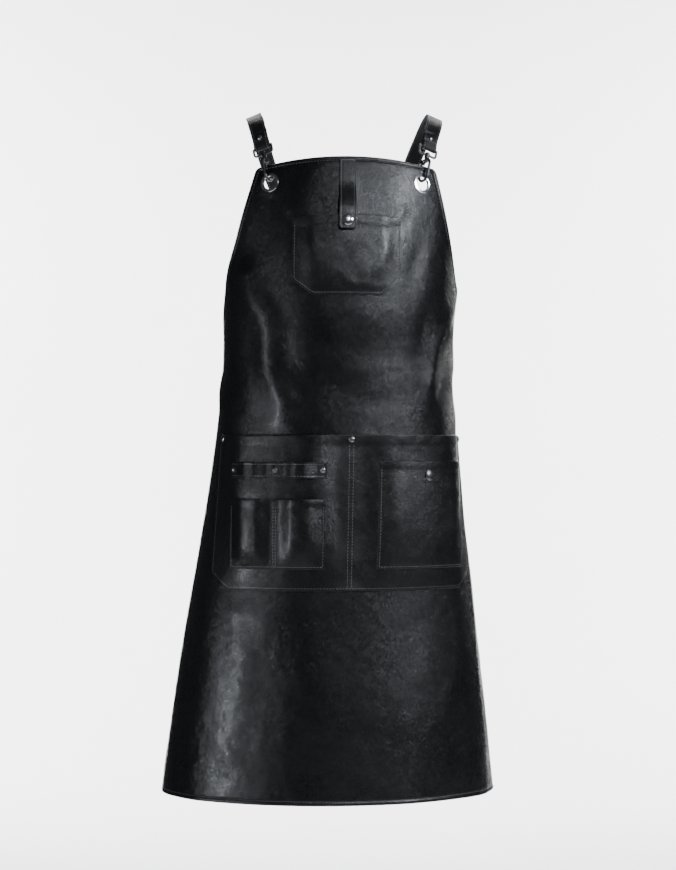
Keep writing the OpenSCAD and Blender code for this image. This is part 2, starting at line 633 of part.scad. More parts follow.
module tool_band() {
    color(black) difference() {
        pocket(band, 24, 3, function(s, d) band_lift(s, d));
        for (r = band_rivets) band_rivet_hole(r);
    }
}
module waist_pocket_rivets() {
    color(gunmetal) for (r = waist_rivets) on_leather(r[0], r[1], 0) rivet(waist_lift(r[0], r[1]) + pocket_t);
}
module tool_band_rivets() {
    color(gunmetal) for (r = band_rivets) on_band(r) rivet(gap + 2 * pocket_t, 3.8);
}
module phone_snap_stud() { color(nickel) at_phone_snap() snap_stud(pocket_t); }
module phone_snap_cap() {
    color(gunmetal) at_phone_snap() {
        snap_socket();
        snap_cap(pocket_t);
    }
}
module left_eyelet() { color(nickel) grommet(-1); }
module right_eyelet() { color(nickel) grommet(1); }
module left_eyelet_washer() { color(nickel) grommet_washer(-1); }
module right_eyelet_washer() { color(nickel) grommet_washer(1); }
module left_hook() { color(gunmetal) turned(-1) hook_body(); }
module right_hook() { color(gunmetal) turned(1) hook_body(); }
module left_gate() { color(gunmetal) turned(-1) gate_blade(); }
module right_gate() { color(gunmetal) turned(1) gate_blade(); }
module left_gate_pin() { color(nickel) turned(-1) gate_pin(); }
module right_gate_pin() { color(nickel) turned(1) gate_pin(); }
module left_loop() { color(gunmetal) hook_frame(-1) strap_loop(); }
module right_loop() { color(gunmetal) hook_frame(1) strap_loop(); }
module left_strap() { color(black) shoulder_strap(-1); }
module right_strap() { color(black) shoulder_strap(1); }
module left_strap_rivet() { color(gunmetal) strap_rivet(-1); }
module right_strap_rivet() { color(gunmetal) strap_rivet(1); }
module left_keeper() { color(gunmetal) keeper(-1); }
module right_keeper() { color(gunmetal) keeper(1); }
module strap_cross_patch() { color(black) cross_patch(); }
module strap_cross_rivet() { color(gunmetal) cross_rivet(); }
module left_waist_tab() { color(black) waist_tab(-1); }
module right_waist_tab() { color(black) waist_tab(1); }
module left_waist_ring() { color(gunmetal) waist_ring(-1); }
module right_waist_ring() { color(gunmetal) waist_ring(1); }
module tab_rivet_at(g) {
    p = tab_sd(g, tab_rivet_k);
    on_leather(p[0], p[1], -tab_under - pocket_t) rivet(panel_t + tab_air + tab_under + 2 * pocket_t);
}
module left_tab_rivet() { color(gunmetal) tab_rivet_at(-1); }
module right_tab_rivet() { color(gunmetal) tab_rivet_at(1); }

apron_panel();
bib_edge_hem();
left_edge_hem();
right_edge_hem();
lower_edge_hem();
chest_pocket();
chest_tab();
chest_snap_stud();
chest_snap_socket();
chest_snap_cap();
waist_pocket();
tool_pockets();
phone_pocket();
tool_band();
waist_pocket_rivets();
tool_band_rivets();
phone_snap_stud();
phone_snap_cap();
left_eyelet();
right_eyelet();
left_eyelet_washer();
right_eyelet_washer();
left_hook();
right_hook();
left_gate();
right_gate();
left_gate_pin();
right_gate_pin();
left_loop();
right_loop();
left_strap();
right_strap();
left_strap_rivet();
right_strap_rivet();
left_keeper();
right_keeper();
strap_cross_patch();
strap_cross_rivet();
left_waist_tab();
right_waist_tab();
left_waist_ring();
right_waist_ring();
left_tab_rivet();
right_tab_rivet();
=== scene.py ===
import math

import bpy
import numpy as np
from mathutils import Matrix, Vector


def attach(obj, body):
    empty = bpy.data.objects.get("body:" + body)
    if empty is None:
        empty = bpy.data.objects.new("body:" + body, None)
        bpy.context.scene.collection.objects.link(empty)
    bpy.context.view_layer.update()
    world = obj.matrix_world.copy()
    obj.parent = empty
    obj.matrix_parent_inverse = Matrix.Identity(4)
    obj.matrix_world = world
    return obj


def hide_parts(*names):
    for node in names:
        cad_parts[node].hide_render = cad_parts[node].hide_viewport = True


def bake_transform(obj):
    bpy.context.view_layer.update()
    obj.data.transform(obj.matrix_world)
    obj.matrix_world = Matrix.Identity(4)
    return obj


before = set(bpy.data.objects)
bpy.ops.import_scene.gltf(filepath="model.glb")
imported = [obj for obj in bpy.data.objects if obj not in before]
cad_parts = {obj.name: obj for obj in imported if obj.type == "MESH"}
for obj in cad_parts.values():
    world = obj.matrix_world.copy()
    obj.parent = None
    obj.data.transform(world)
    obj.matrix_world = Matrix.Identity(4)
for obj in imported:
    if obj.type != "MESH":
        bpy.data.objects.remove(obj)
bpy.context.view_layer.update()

MM = 0.001

# ---- camera ----------------------------------------------------------------------------
target = Vector((-0.01505, -0.11, -0.41295))
azimuth = math.radians(-4.0)
back = Vector((math.sin(azimuth), -math.cos(azimuth), 0.0))
camera = bpy.data.objects.new("camera", bpy.data.cameras.new("camera"))
bpy.context.scene.collection.objects.link(camera)
DISTANCE = 3.0
camera.location = target + DISTANCE * back
camera.rotation_euler = back.to_track_quat("Z", "Y").to_euler()
camera.data.lens = 36 * DISTANCE / 1.0935  # 1.0935 m fills the frame's longer side there
camera.data.sensor_width = 36
camera.data.dof.use_dof = False
bpy.context.scene.camera = camera

# ---- the worn shape, the same as the CAD model's, in millimetres --------------------------
PANEL_T, PLY_T, GAP = 1.6, 1.4, 0.6
BIB_HALF, SKIRT_HALF, BIB_TOP, CROWN, CORNER_D, HEM_D = 121, 300, 60, 12, 345, 873
STATIONS = np.array(
    [
        [0, 150, 68],
        [60, 153, 92],
        [150, 153.5, 110],
        [250, 149.5, 117],
        [335, 148, 114],
        [480, 162.5, 121],
        [680, 191, 137],
        [900, 218, 155],
    ],
    float,
)
TWIST, SWAY = 11.4, 0.0235
TURN = math.radians(40)


def smooth(t):
    t = np.clip(t, 0, 1)
    return t * t * (3 - 2 * t)


def hermite(d, k):
    """Smooth value of column k of the stations at depth d."""
    x, y = STATIONS[:, 0], STATIONS[:, k]
    n = len(x) - 1
    m = [(y[min(i + 1, n)] - y[max(i - 1, 0)]) / (x[min(i + 1, n)] - x[max(i - 1, 0)]) for i in range(n + 1)]
    i = np.clip(np.searchsorted(x, d, side="right") - 1, 0, n - 1)
    w = x[i + 1] - x[i]
    t = (d - x[i]) / w
    m = np.array(m)
    return (
        y[i] * (1 + 2 * t) * (1 - t) ** 2
        + y[i + 1] * t * t * (3 - 2 * t)
        + w * (m[i] * t * (1 - t) ** 2 - m[i + 1] * t * t * (1 - t))
    )


def arcs(d):
    half, deep = hermite(d, 1), hermite(d, 2)
    share = (1 - math.cos(TURN)) / math.sin(TURN)
    side = (deep - share * half) / (math.cos(TURN) - share * (1 - math.sin(TURN)))
    return (half - (1 - math.sin(TURN)) * side) / math.sin(TURN), side, deep


def at(s, d, h=0.0):
    """Point at distance s round the body, depth d below the shoulders and height h outside the form."""
    s, d = np.broadcast_arrays(np.asarray(s, float), np.asarray(d, float))
    q = s + TWIST * smooth((d - 180) / 230)
    r1, r2, deep = arcs(d)
    a = np.where(np.abs(q) < r1 * TURN, np.abs(q) / r1, TURN + (np.abs(q) - r1 * TURN) / r2)
    x = np.where(a < TURN, r1 * np.sin(a), r1 * math.sin(TURN) + r2 * (np.sin(a) - math.sin(TURN)))
    y = np.where(a < TURN, r1 * (1 - np.cos(a)) - deep, -r2 * np.cos(a))
    sign = np.where(q < 0, -1.0, 1.0)
    return np.stack([sign * (x + h * np.sin(a)) - SWAY * d, y - h * np.cos(a), -d], -1)


def unit(v):
    return v / np.linalg.norm(v, axis=-1, keepdims=True)


def along(s, d):
    return unit(at(s + 1, d) - at(s - 1, d))


def outward(s, d):
    return unit(np.cross(along(s, d), at(s, d - 1) - at(s, d + 1)))


def upward(s, d):
    return np.cross(outward(s, d), along(s, d))


# ---- pockets, as in the CAD model ----------------------------------------------------------
GAPE = 9
# middle, half width, mouth, height, cells, chamfer, pinch (place, share), flat margin, rise
CHEST = (0, 69, 139, 98, 1, 25, 19, 0, 143.5, 0.55, 4, 24)
WAIST = (0, 188, 413, 195, 2, 28, 20, 0, 0, 0, 10, 40)
TOOLS = (-92, 62, 493, 88, 2, 0, 0, 0, 0, 0, 4, 20)
PHONE = (99, 66, 446, 135, 1, 0, 0, 97, 464, 0.73, 4, 22)
BAND = (-92, 62, 447, 20, 2, 0, 0, 0, 0, 0, 10, 17)


def belly(p, s, d, closed=True):
    u = np.clip((s - p[0]) / p[1], -1, 1)
    v = np.clip((d - p[2]) / p[3], 0, 1)
    k = (u + 1) / 2 * p[4]
    c = 2 * (k - np.floor(np.minimum(k, p[4] - 0.001))) - 1
    edge = p[1] / p[4] * (1 - np.abs(c))
    away = ((u * p[1] + p[0] - p[7]) / 20) ** 2 + ((p[2] + v * p[3] - p[8]) / 32) ** 2
    return smooth((edge - p[10]) / p[11]) * ((1 - v**4) if closed else 1) * (1 - p[9] * np.exp(-(away**2)))


def pocket_half(p, d):
    return p[1] - (p[5] * np.maximum(0, (d - p[2] - p[3] + p[6]) / p[6]) if p[6] else 0)


# The leather lies flatter than the CAD model's pockets, which are held open; these are shares
CHEST_SHARE, PHONE_SHARE, TOOLS_BULGE, BAND_BULGE = 0.45, 0.27, 6, 7


def unpinched(p):
    return p[:9] + (0,) + p[10:]


def chest_lift(s, d):
    return PANEL_T + GAP + (GAPE - 1.5) * CHEST_SHARE * belly(unpinched(CHEST), s, d)


def waist_lift(s, d):
    return PANEL_T + GAP + GAPE * belly(WAIST, s, d)


def tools_lift(s, d):
    return waist_lift(s, d) + PLY_T + GAP + TOOLS_BULGE * belly(TOOLS, s, d)


def phone_lift(s, d):
    return waist_lift(s, d) + PLY_T + GAP + (GAPE + 1) * PHONE_SHARE * belly(unpinched(PHONE), s, d)


def band_lift(s, d):
    return waist_lift(s, d) + PLY_T + GAP + BAND_BULGE * belly(BAND, s, d, False)


# ---- folds and creases of the leather ------------------------------------------------------
lattice = np.random.RandomState(7).uniform(-1, 1, (8, 128, 128))


def noise(x, y, k=0):
    """Smooth noise from -1 to 1."""
    i, j = np.floor(x).astype(int), np.floor(y).astype(int)
    fx, fy = smooth(x - i), smooth(y - j)
    g = lattice[k]
    a, b = g[i % 128, j % 128], g[(i + 1) % 128, j % 128]
    c, e = g[i % 128, (j + 1) % 128], g[(i + 1) % 128, (j + 1) % 128]
    return (a * (1 - fx) + b * fx) * (1 - fy) + (c * (1 - fx) + e * fx) * fy


def ridge(s, d, path, width, height, sharp=1.0):
    """Height of a fold that runs along path, a list of (s, d, share of height)."""
    total = np.zeros(np.broadcast(s, d).shape)
    for (s0, d0, h0), (s1, d1, h1) in zip(path, path[1:]):
        vx, vy = s1 - s0, d1 - d0
        t = np.clip(((s - s0) * vx + (d - d0) * vy) / (vx * vx + vy * vy), 0, 1)
        far = np.hypot(s - s0 - t * vx, d - d0 - t * vy) / width
        total = np.maximum(total, (h0 + (h1 - h0) * t) * np.exp(-(far ** (1 + sharp))))
    return height * total


FOLDS = [
    # path of (s, d, share of height), width, height
    (
        [(-150, 202, 0.3), (-136, 214, 0.8), (-127, 236, 1), (-112, 260, 1), (-104, 280, 1), (-106, 305, 1)]
        + [(-106, 327, 1), (-97, 350, 1), (-88, 371, 0.9), (-87, 388, 0.6), (-94, 402, 0.1)],
        20,
        5.6,
    ),
    ([(-176, 192, 0.5), (-166, 216, 1), (-164, 240, 0.8), (-170, 262, 0.1)], 24, 3.0),
    ([(-136, 262, 0.1), (-128, 300, 0.9), (-126, 345, 0.9), (-114, 380, 0.2)], 15, -0.6),
    ([(-98, 222, 0.1), (-84, 262, 0.9), (-84, 320, 0.9), (-72, 362, 0.2)], 14, -0.8),
    ([(184, 226, 0.6), (158, 262, 1), (128, 300, 0.9), (114, 345, 0.9), (106, 374, 0.1)], 11, 3.4),
    ([(188, 262, 0.2), (160, 300, 1), (136, 345, 0.7), (128, 374, 0.1)], 13, -2.8),
    ([(120, 232, 0.1), (106, 270, 1), (96, 310, 0.5)], 14, -1.8),
    ([(205, 300, 0.4), (176, 325, 1), (150, 360, 0.2)], 11, 2.4),
    ([(60, 165, 0.1), (64, 120, 0.6), (40, 95, 0.2)], 14, 1.3),
    ([(-70, 160, 0.1), (-60, 110, 0.5), (-36, 84, 0.1)], 16, 1.2),
    ([(104, 150, 0.3), (92, 196, 1), (84, 240, 0.2)], 14, -1.8),
    ([(-73, 128, 1), (-66, 139, 0.6)], 6, 1.0),
    ([(73, 128, 1), (66, 139, 0.6)], 6, 1.0),
    ([(-40, 305, 0.2), (0, 330, 1), (60, 326, 0.8), (110, 350, 0.1)], 15, 0.8),
    ([(-30, 350, 0.1), (20, 372, 0.8), (80, 368, 0.1)], 13, -0.7),
    ([(-236, 330, 0.5), (-200, 372, 1), (-168, 398, 0.1)], 12, 2.6),
    ([(-214, 330, 0.2), (-172, 352, 1), (-140, 384, 0.1)], 11, -2.0),
    ([(236, 345, 0.4), (205, 380, 1), (180, 410, 0.1)], 12, 2.2),
    ([(-190, 606, 0.2), (-150, 632, 1), (-100, 640, 0.3)], 16, 1.3),
    ([(-150, 640, 0.2), (-132, 690, 1), (-140, 770, 0.3)], 18, 1.3),
    ([(-205, 610, 0.2), (-180, 700, 1), (-186, 800, 0.8), (-196, 870, 0.5)], 30, 1.6),
    ([(-180, 790, 0.1), (-150, 812, 1), (-120, 860, 0.4)], 16, 1.2),
    ([(-60, 640, 0.1), (-42, 720, 0.7), (-54, 850, 0.4)], 34, 1.2),
    ([(150, 610, 0.2), (170, 700, 1), (180, 800, 1), (196, 870, 0.8)], 30, 1.8),
    ([(205, 600, 0.4), (228, 720, 1), (236, 870, 1)], 26, -2.0),
    ([(70, 650, 0.1), (90, 760, 0.9), (84, 870, 0.7)], 38, 1.2),
    ([(-235, 600, 0.4), (-226, 720, 1), (-232, 870, 1)], 26, -2.0),
]


PINS = (
    [(-101, 93, 17), (101, 93, 17), (0, 143.5, 14), (97, 464, 12), (-282.2, 358.3, 26), (288.4, 363.4, 26)]
    + [(k * 182.5, 418.5, 9) for k in (-1, 0, 1)]
    + [(-92 + k * 56.5, 457, 9) for k in (-1, 0, 1)]
)


def relief(s, d):
    """Height of the leather's folds and unevenness, none where hardware holds it."""
    s, d = np.broadcast_arrays(np.asarray(s, float), np.asarray(d, float))
    h = 1.1 * noise(s / 90 + 3, d / 130 + 5, 0) + 0.4 * noise(s / 27, d / 44, 1)
    h += 0.12 * noise(s / 11 + 0.7 * noise(s / 30, d / 30, 4), d / 15, 2)
    loose = smooth((d - 600) / 60) * smooth((-s - 20) / 120) * smooth((870 - d) / 60)
    h += loose * 0.24 * (1 - np.abs(noise(s / 13 + d / 60, d / 17 - s / 70, 3)) * 2)
    for path, width, height in FOLDS:
        h += ridge(s, d, path, width, height, 0.7)
    hold = 1 - 0.6 * np.exp(-((np.maximum(0, np.abs(d - 510) - 80) / 30) ** 2))
    h = h * hold
    for ps, pd, r in PINS:
        h = h * (1 - np.exp(-(((s - ps) ** 2 + (d - pd) ** 2) / r**2) ** 1.5))
    tabbed = np.exp(-((s / 16) ** 4)) * smooth((165 - d) / 20)
    return np.clip(h * (1 - tabbed), -6, 7)


def rim(e, pitch=5.5, swell=0.45, dip=0.4):
    """Profile of a turned edge: a swell outside the stitches, a dip under them."""
    swollen = swell * np.exp(-(((e - pitch * 0.42) / (pitch * 0.42)) ** 2))
    return swollen - dip * np.exp(-(((e - pitch) / 0.9) ** 2))


def bib_half(d):
    t = np.clip((d - BIB_TOP - CROWN) / (CORNER_D - BIB_TOP - CROWN), 0, 1)
    return BIB_HALF + (SKIRT_HALF - BIB_HALF) * (0.55 * t + 0.45 * t**4)


def rounded(e, r):
    """Inset of an edge at distance e from a corner rounded to radius r."""
    e = np.clip(e, 0, r)
    return r - np.sqrt(r * r - (r - e) ** 2)


def edge_half(d):
    top = BIB_TOP + CROWN
    return bib_half(d) - rounded(HEM_D - d, 11) - rounded(d - top, 7)


# ---- mesh helpers ---------------------------------------------------------------------------
def add_object(name, points, faces, materials, indices=None, flat=False):
    mesh = bpy.data.meshes.new(name)
    mesh.from_pydata((np.asarray(points) * MM).tolist(), [], faces)
    for m in materials:
        mesh.materials.append(m)
    if indices is not None:
        mesh.polygons.foreach_set("material_index", np.asarray(indices, np.int32))
    mesh.polygons.foreach_set("use_smooth", [not flat] * len(mesh.polygons))
    mesh.update()
    o = bpy.data.objects.new(name, mesh)
    bpy.context.scene.collection.objects.link(o)
    return o


def edged(width, step, r):
    """Stations across a strip: (share, distance from the near end), fine at both ends."""
    near = [0, 0.07 * r, 0.25 * r, 0.6 * r, r, 2.2 * r]
    n = max(2, int(round((width - 4.4 * r) / step)))
    inner = np.linspace(2.2 * r, width - 2.2 * r, n + 1)[1:-1]
    e = np.concatenate([near, inner, [width - x for x in near[::-1]]])
    return e


def round_share(e, r):
    x = np.clip(e / r, 0, 1)
    return np.sqrt(np.maximum(0, 1 - (1 - x) ** 2))


def shell(name, outer, inner, materials, edge_e, holes=(), SD=None, lined=True):
    """A closed sheet between two grids that meet along their border."""
    rows, cols = outer.shape[:2]
    n = rows * cols
    ids = np.arange(n).reshape(rows, cols)
    inn = ids + n
    inn[0], inn[-1], inn[:, 0], inn[:, -1] = ids[0], ids[-1], ids[:, 0], ids[:, -1]
    keep = np.ones((rows - 1, cols - 1), bool)
    for hs, hd, hr in holes:
        clear = np.hypot(SD[0] - hs, SD[1] - hd) > hr - 0.01
        keep &= clear[:-1, :-1] & clear[1:, 1:] & clear[1:, :-1] & clear[:-1, 1:]
    faces, index = [], []
    a, b, c, e = ids[:-1, :-1], ids[1:, :-1], ids[1:, 1:], ids[:-1, 1:]
    ia, ib, ic, ie = inn[:-1, :-1], inn[1:, :-1], inn[1:, 1:], inn[:-1, 1:]
    deep = np.minimum(edge_e[:-1, :-1], edge_e[1:, 1:])
    deep = np.minimum(deep, np.minimum(edge_e[1:, :-1], edge_e[:-1, 1:]))
    for i in range(rows - 1):
        for j in range(cols - 1):
            if not keep[i, j]:
                continue
            faces.append((a[i, j], b[i, j], c[i, j], e[i, j]))
            index.append(0)
            q = [ia[i, j], ie[i, j], ic[i, j], ib[i, j]]
            faces.append(tuple(q))
            index.append(1 if lined and deep[i, j] > 1.0 else 0)
            if holes:
                for di, dj, p, r_, ip, ir in (
                    (0, -1, a, b, ia, ib),
                    (0, 1, c, e, ic, ie),
                    (-1, 0, e, a, ie, ia),
                    (1, 0, b, c, ib, ic),
                ):
                    y, x = i + di, j + dj
                    if 0 <= y < rows - 1 and 0 <= x < cols - 1 and not keep[y, x]:
                        faces.append((p[i, j], ip[i, j], ir[i, j], r_[i, j]))
                        index.append(0)
    points = np.concatenate([outer.reshape(-1, 3), inner.reshape(-1, 3)])
    used = np.zeros(2 * n, bool)
    for f in faces:
        used[list(f)] = True
    new = np.cumsum(used) - 1
    faces = [tuple(int(new[k]) for k in f) for f in faces]
    faces = [f for f in faces if len(set(f)) > 2]
    return add_object(name, points[used], faces, materials, index[: len(faces)])


def leaf(name, S, D, e, lift, thick, materials, extra=None, **kw):
    """A sheet of leather over the pattern places S, D, whose inner face stands at lift."""
    f = round_share(e, thick * 0.55)
    base = lift(S, D) + relief(S, D) + (extra(S, D, e) if extra else 0)
    outer = at(S, D, base + thick / 2 + f * thick / 2)
    inner = at(S, D, base + thick / 2 - f * thick / 2 - (extra(S, D, e) * 0.7 * (f > 0.99) if extra else 0))
    return shell(name, outer, inner, materials, e, SD=(S, D), **kw)


class Stitches:
    """Sewn thread: one small rounded bar for each stitch."""

    def __init__(self):
        self.points, self.faces = [], []

    def line(self, pts, normals, pitch=4.0, length=2.9, r=0.36, sink=0.12):
        pts, normals = np.asarray(pts, float), np.asarray(normals, float)
        step = np.r_[0, np.cumsum(np.linalg.norm(np.diff(pts, axis=0), axis=1))]
        if step[-1] < pitch:
            return
        n = max(1, int(round(step[-1] / pitch)))
        mid = (np.arange(n) + 0.5) * step[-1] / n

        def find(x, v):
            return np.stack([np.interp(x, step, v[:, k]) for k in range(3)], -1)

        a, c, b = find(mid - length / 2, pts), find(mid, pts), find(mid + length / 2, pts)
        nor = unit(find(mid, normals))
        run = unit(b - a)
        side = unit(np.cross(nor, run))
        # share along the stitch, share of its width, height
        rings = [(-0.5, 0.35, -0.5), (-0.42, 0.85, 0.2), (-0.15, 1.0, 0.75)]
        rings += [(-t, w, up) for t, w, up in rings[::-1]]
        for i in range(n):
            start = len(self.points)
            for t, w, up in rings:
                m = c[i] + run[i] * t * length + nor[i] * (r * up - sink)
                for k in range(6):
                    x = math.pi * 2 * k / 6
                    wide_by, high_by = r * w * math.cos(x), r * 0.8 * w * math.sin(x)
                    self.points.append(m + side[i] * wide_by + nor[i] * high_by)
            for q in range(len(rings) - 1):
                for k in range(6):
                    p, p2 = start + 6 * q + k, start + 6 * q + (k + 1) % 6
                    self.faces.append((p, p2, p2 + 6, p + 6))
            self.faces.append(tuple(start + k for k in range(5, -1, -1)))
            self.faces.append(tuple(start + 6 * (len(rings) - 1) + k for k in range(6)))

    def on(self, face, path, **kw):
        """Stitches along a path of pattern places on the surface face(s, d)."""
        path = np.asarray(path, float)
        step = np.r_[0, np.cumsum(np.hypot(*np.diff(path, axis=0).T))]
        n = max(2, int(step[-1] / 1.5))
        x = np.linspace(0, step[-1], n)
        s, d = np.interp(x, step, path[:, 0]), np.interp(x, step, path[:, 1])
        p = face(s, d)
        nor = unit(np.cross(face(s + 0.7, d) - face(s - 0.7, d), face(s, d - 0.7) - face(s, d + 0.7)))
        self.line(p, nor, **kw)

    def make(self, name, material):
        return add_object(name, self.points, self.faces, [material])


# ---- materials -------------------------------------------------------------------------------
class Nodes:
    def __init__(self, name):
        self.m = bpy.data.materials.new(name)
        self.m.use_nodes = True
        self.t = self.m.node_tree
        self.t.nodes.clear()
        self.out = self.t.nodes.new("ShaderNodeOutputMaterial")
        self.p = self.t.nodes.new("ShaderNodeBsdfPrincipled")
        self.t.links.new(self.p.outputs[0], self.out.inputs[0])
        self.co = self.t.nodes.new("ShaderNodeTexCoord").outputs["Object"]

    def set(self, **values):
        for k, v in values.items():
            self.p.inputs[k.replace("_", " ")].default_value = v

    def link(self, a, b):
        self.t.links.new(a, b)

    def noise(self, scale, detail=4, rough=0.55, distortion=0.0, co=None, stretch=None):
        n = self.t.nodes.new("ShaderNodeTexNoise")
        n.inputs["Scale"].default_value = scale
        n.inputs["Detail"].default_value = detail
        n.inputs["Roughness"].default_value = rough
        n.inputs["Distortion"].default_value = distortion
        self.link(self.stretched(stretch) if stretch else (co or self.co), n.inputs["Vector"])
        return n.outputs["Fac"]

    def stretched(self, scale):
        m = self.t.nodes.new("ShaderNodeMapping")
        m.inputs["Scale"].default_value = scale
        self.link(self.co, m.inputs["Vector"])
        return m.outputs[0]

    def voronoi(self, scale, feature="F1"):
        n = self.t.nodes.new("ShaderNodeTexVoronoi")
        n.feature = feature
        n.inputs["Scale"].default_value = scale
        self.link(self.co, n.inputs["Vector"])
        return n.outputs["Distance"]

    def ramp(self, value, *stops):
        r = self.t.nodes.new("ShaderNodeValToRGB")
        e = r.color_ramp.elements
        while len(e) < len(stops):
            e.new(0.5)
        for k, (pos, colour) in enumerate(stops):
            e[k].position = pos
            e[k].color = (*colour, 1) if hasattr(colour, "__len__") else (colour, colour, colour, 1)
        self.link(value, r.inputs[0])
        return r.outputs[0]

    def math(self, op, a, b=None, c=None):
        n = self.t.nodes.new("ShaderNodeMath")
        n.operation = op
        for k, v in enumerate((a, b, c)):
            if v is None:
                continue
            if hasattr(v, "links"):
                self.link(v, n.inputs[k])
            else:
                n.inputs[k].default_value = v
        return n.outputs[0]

    def mix(self, fac, a, b):
        n = self.t.nodes.new("ShaderNodeMix")
        n.data_type = "RGBA"
        for k, v in ((0, fac), (6, a), (7, b)):
            if hasattr(v, "links"):
                self.link(v, n.inputs[k])
            else:
                n.inputs[k].default_value = v if k == 0 else (*v, 1)
        return n.outputs[2]

    def bump(self, *heights):
        normal = None
        for height, distance in heights:
            b = self.t.nodes.new("ShaderNodeBump")
            b.inputs["Strength"].default_value = 1.0
            b.inputs["Distance"].default_value = distance
            self.link(height, b.inputs["Height"])
            if normal is not None:
                self.link(normal, b.inputs["Normal"])
            normal = b.outputs[0]
        self.link(normal, self.p.inputs["Normal"])


DARK, LIGHT = (0.0034, 0.0035, 0.0043), (0.0075, 0.0077, 0.0092)


def leather(name, dark=DARK, light=LIGHT, rough=(0.17, 0.27), creases=1.0, coat=0.06):
    n = Nodes(name)
    cloud = n.noise(14, 5, 0.6)
    fine = n.noise(140, 4, 0.6)
    tone = n.ramp(cloud, (0.3, dark), (0.72, light))
    pores = n.voronoi(950, "DISTANCE_TO_EDGE")
    valley = n.ramp(pores, (0.0, 0.0), (0.22, 1.0))
    # Painted shade: the grain's crevices, where the pores' bump is low, are mixed towards near-black
    deep = n.mix(0.5, tone, (0.002, 0.002, 0.003))
    n.link(n.mix(n.math("MULTIPLY", valley, 0.5), deep, tone), n.p.inputs["Base Color"])
    spread = rough[1] - rough[0]
    grain = n.math("ADD", cloud, n.math("MULTIPLY", fine, 0.5))
    r = n.math("MULTIPLY_ADD", grain, spread / 0.6, rough[0] - spread * 0.75)
    r = n.math("ADD", r, n.math("MULTIPLY", n.math("SUBTRACT", 1.0, valley), 0.08))
    n.link(n.math("MAXIMUM", r, 0.16), n.p.inputs["Roughness"])
    crack = n.noise(34, 5, 0.62, 0.6)
    crack = n.ramp(n.math("ABSOLUTE", n.math("SUBTRACT", crack, 0.5)), (0.0, 0.0), (0.05, 0.75), (0.16, 1.0))
    broad = n.noise(46, 4, 0.55, 0.3)
    n.bump((broad, 0.0006 * creases), (crack, 0.00012 * creases), (valley, 0.00006), (fine, 0.00012))
    n.set(Specular_IOR_Level=0.5, Coat_Weight=coat, Coat_Roughness=0.22, Coat_IOR=1.45)
    return n.m


def lining(name):
    n = Nodes(name)
    knit = n.t.nodes.new("ShaderNodeTexWave")
    knit.wave_type, knit.bands_direction = "BANDS", "DIAGONAL"
    knit.inputs["Scale"].default_value = 330
    knit.inputs["Distortion"].default_value = 1.5
    n.link(n.co, knit.inputs["Vector"])
    fuzz = n.noise(900, 3, 0.7)
    cloud = n.noise(18, 4)
    c = n.mix(knit.outputs["Fac"], (0.021, 0.021, 0.023), (0.05, 0.05, 0.054))
    n.link(n.mix(n.math("MULTIPLY", cloud, 0.6), c, (0.03, 0.03, 0.033)), n.p.inputs["Base Color"])
    n.link(n.math("MULTIPLY_ADD", fuzz, 0.2, 0.75), n.p.inputs["Roughness"])
    n.bump((knit.outputs["Fac"], 0.0002), (fuzz, 0.00025))
    n.set(Sheen_Weight=0.3, Sheen_Roughness=0.5)
    return n.m


def thread(name, colour):
    n = Nodes(name)
    twist = n.t.nodes.new("ShaderNodeTexWave")
    twist.wave_type, twist.bands_direction = "BANDS", "DIAGONAL"
    twist.inputs["Scale"].default_value = 900
    n.link(n.co, twist.inputs["Vector"])
    # Painted shade: the twist's grooves, where its bump is low, are darkened to 0.45 of the thread's colour
    groove_shade = tuple(c * 0.45 for c in colour)
    n.link(n.mix(twist.outputs["Fac"], groove_shade, colour), n.p.inputs["Base Color"])
    n.link(n.math("MULTIPLY_ADD", n.noise(300), 0.2, 0.35), n.p.inputs["Roughness"])
    n.bump((twist.outputs["Fac"], 0.0001))
    n.set(Sheen_Weight=0.2)
    return n.m


def metal(name, bright, dim, rough, brushed=0.5):
    n = Nodes(name)
    cloud = n.noise(120, 5, 0.6)
    scratch = n.noise(400, 6, 0.7, 0.4, stretch=(1.0, 1.0, 0.12))
    smear = n.noise(45, 3)
    mask = n.ramp(n.math("MULTIPLY", cloud, scratch), (0.16, 0.0), (0.42, 1.0))
    n.link(n.mix(mask, bright, dim), n.p.inputs["Base Color"])
    r = n.math("MULTIPLY_ADD", smear, rough * 0.8, rough * 0.6)
    n.link(n.math("ADD", r, n.math("MULTIPLY", scratch, rough * 0.4 * brushed)), n.p.inputs["Roughness"])
    n.bump((scratch, 0.00002), (cloud, 0.00003))
    n.set(Metallic=1.0)
    return n.m


LEATHER = leather("black_leather")
POCKET = leather("pocket_leather", rough=(0.2, 0.31), creases=0.8)
STRAP_DARK, STRAP_LIGHT = (0.003, 0.003, 0.0035), (0.007, 0.007, 0.008)
STRAP = leather("strap_leather", dark=STRAP_DARK, light=STRAP_LIGHT, rough=(0.42, 0.56), creases=0.4, coat=0.0)
LINING = lining("knit_backing")
THREAD = thread("black_thread", (0.1, 0.102, 0.112))
# THREAD_LIT is the black thread at twice its brightness: a painted highlight, used for the stitches on the
# pockets, the chest tab and the straps
THREAD_LIT = thread("thread_painted_highlight", (0.2, 0.204, 0.22))
NICKEL = metal("polished_nickel", (0.74, 0.75, 0.77), (0.5, 0.51, 0.53), 0.16)
GUNMETAL = metal("gunmetal", (0.12, 0.125, 0.135), (0.055, 0.057, 0.062), 0.28)
PEWTER = metal("worn_gunmetal", (0.3, 0.305, 0.32), (0.14, 0.145, 0.155), 0.24)

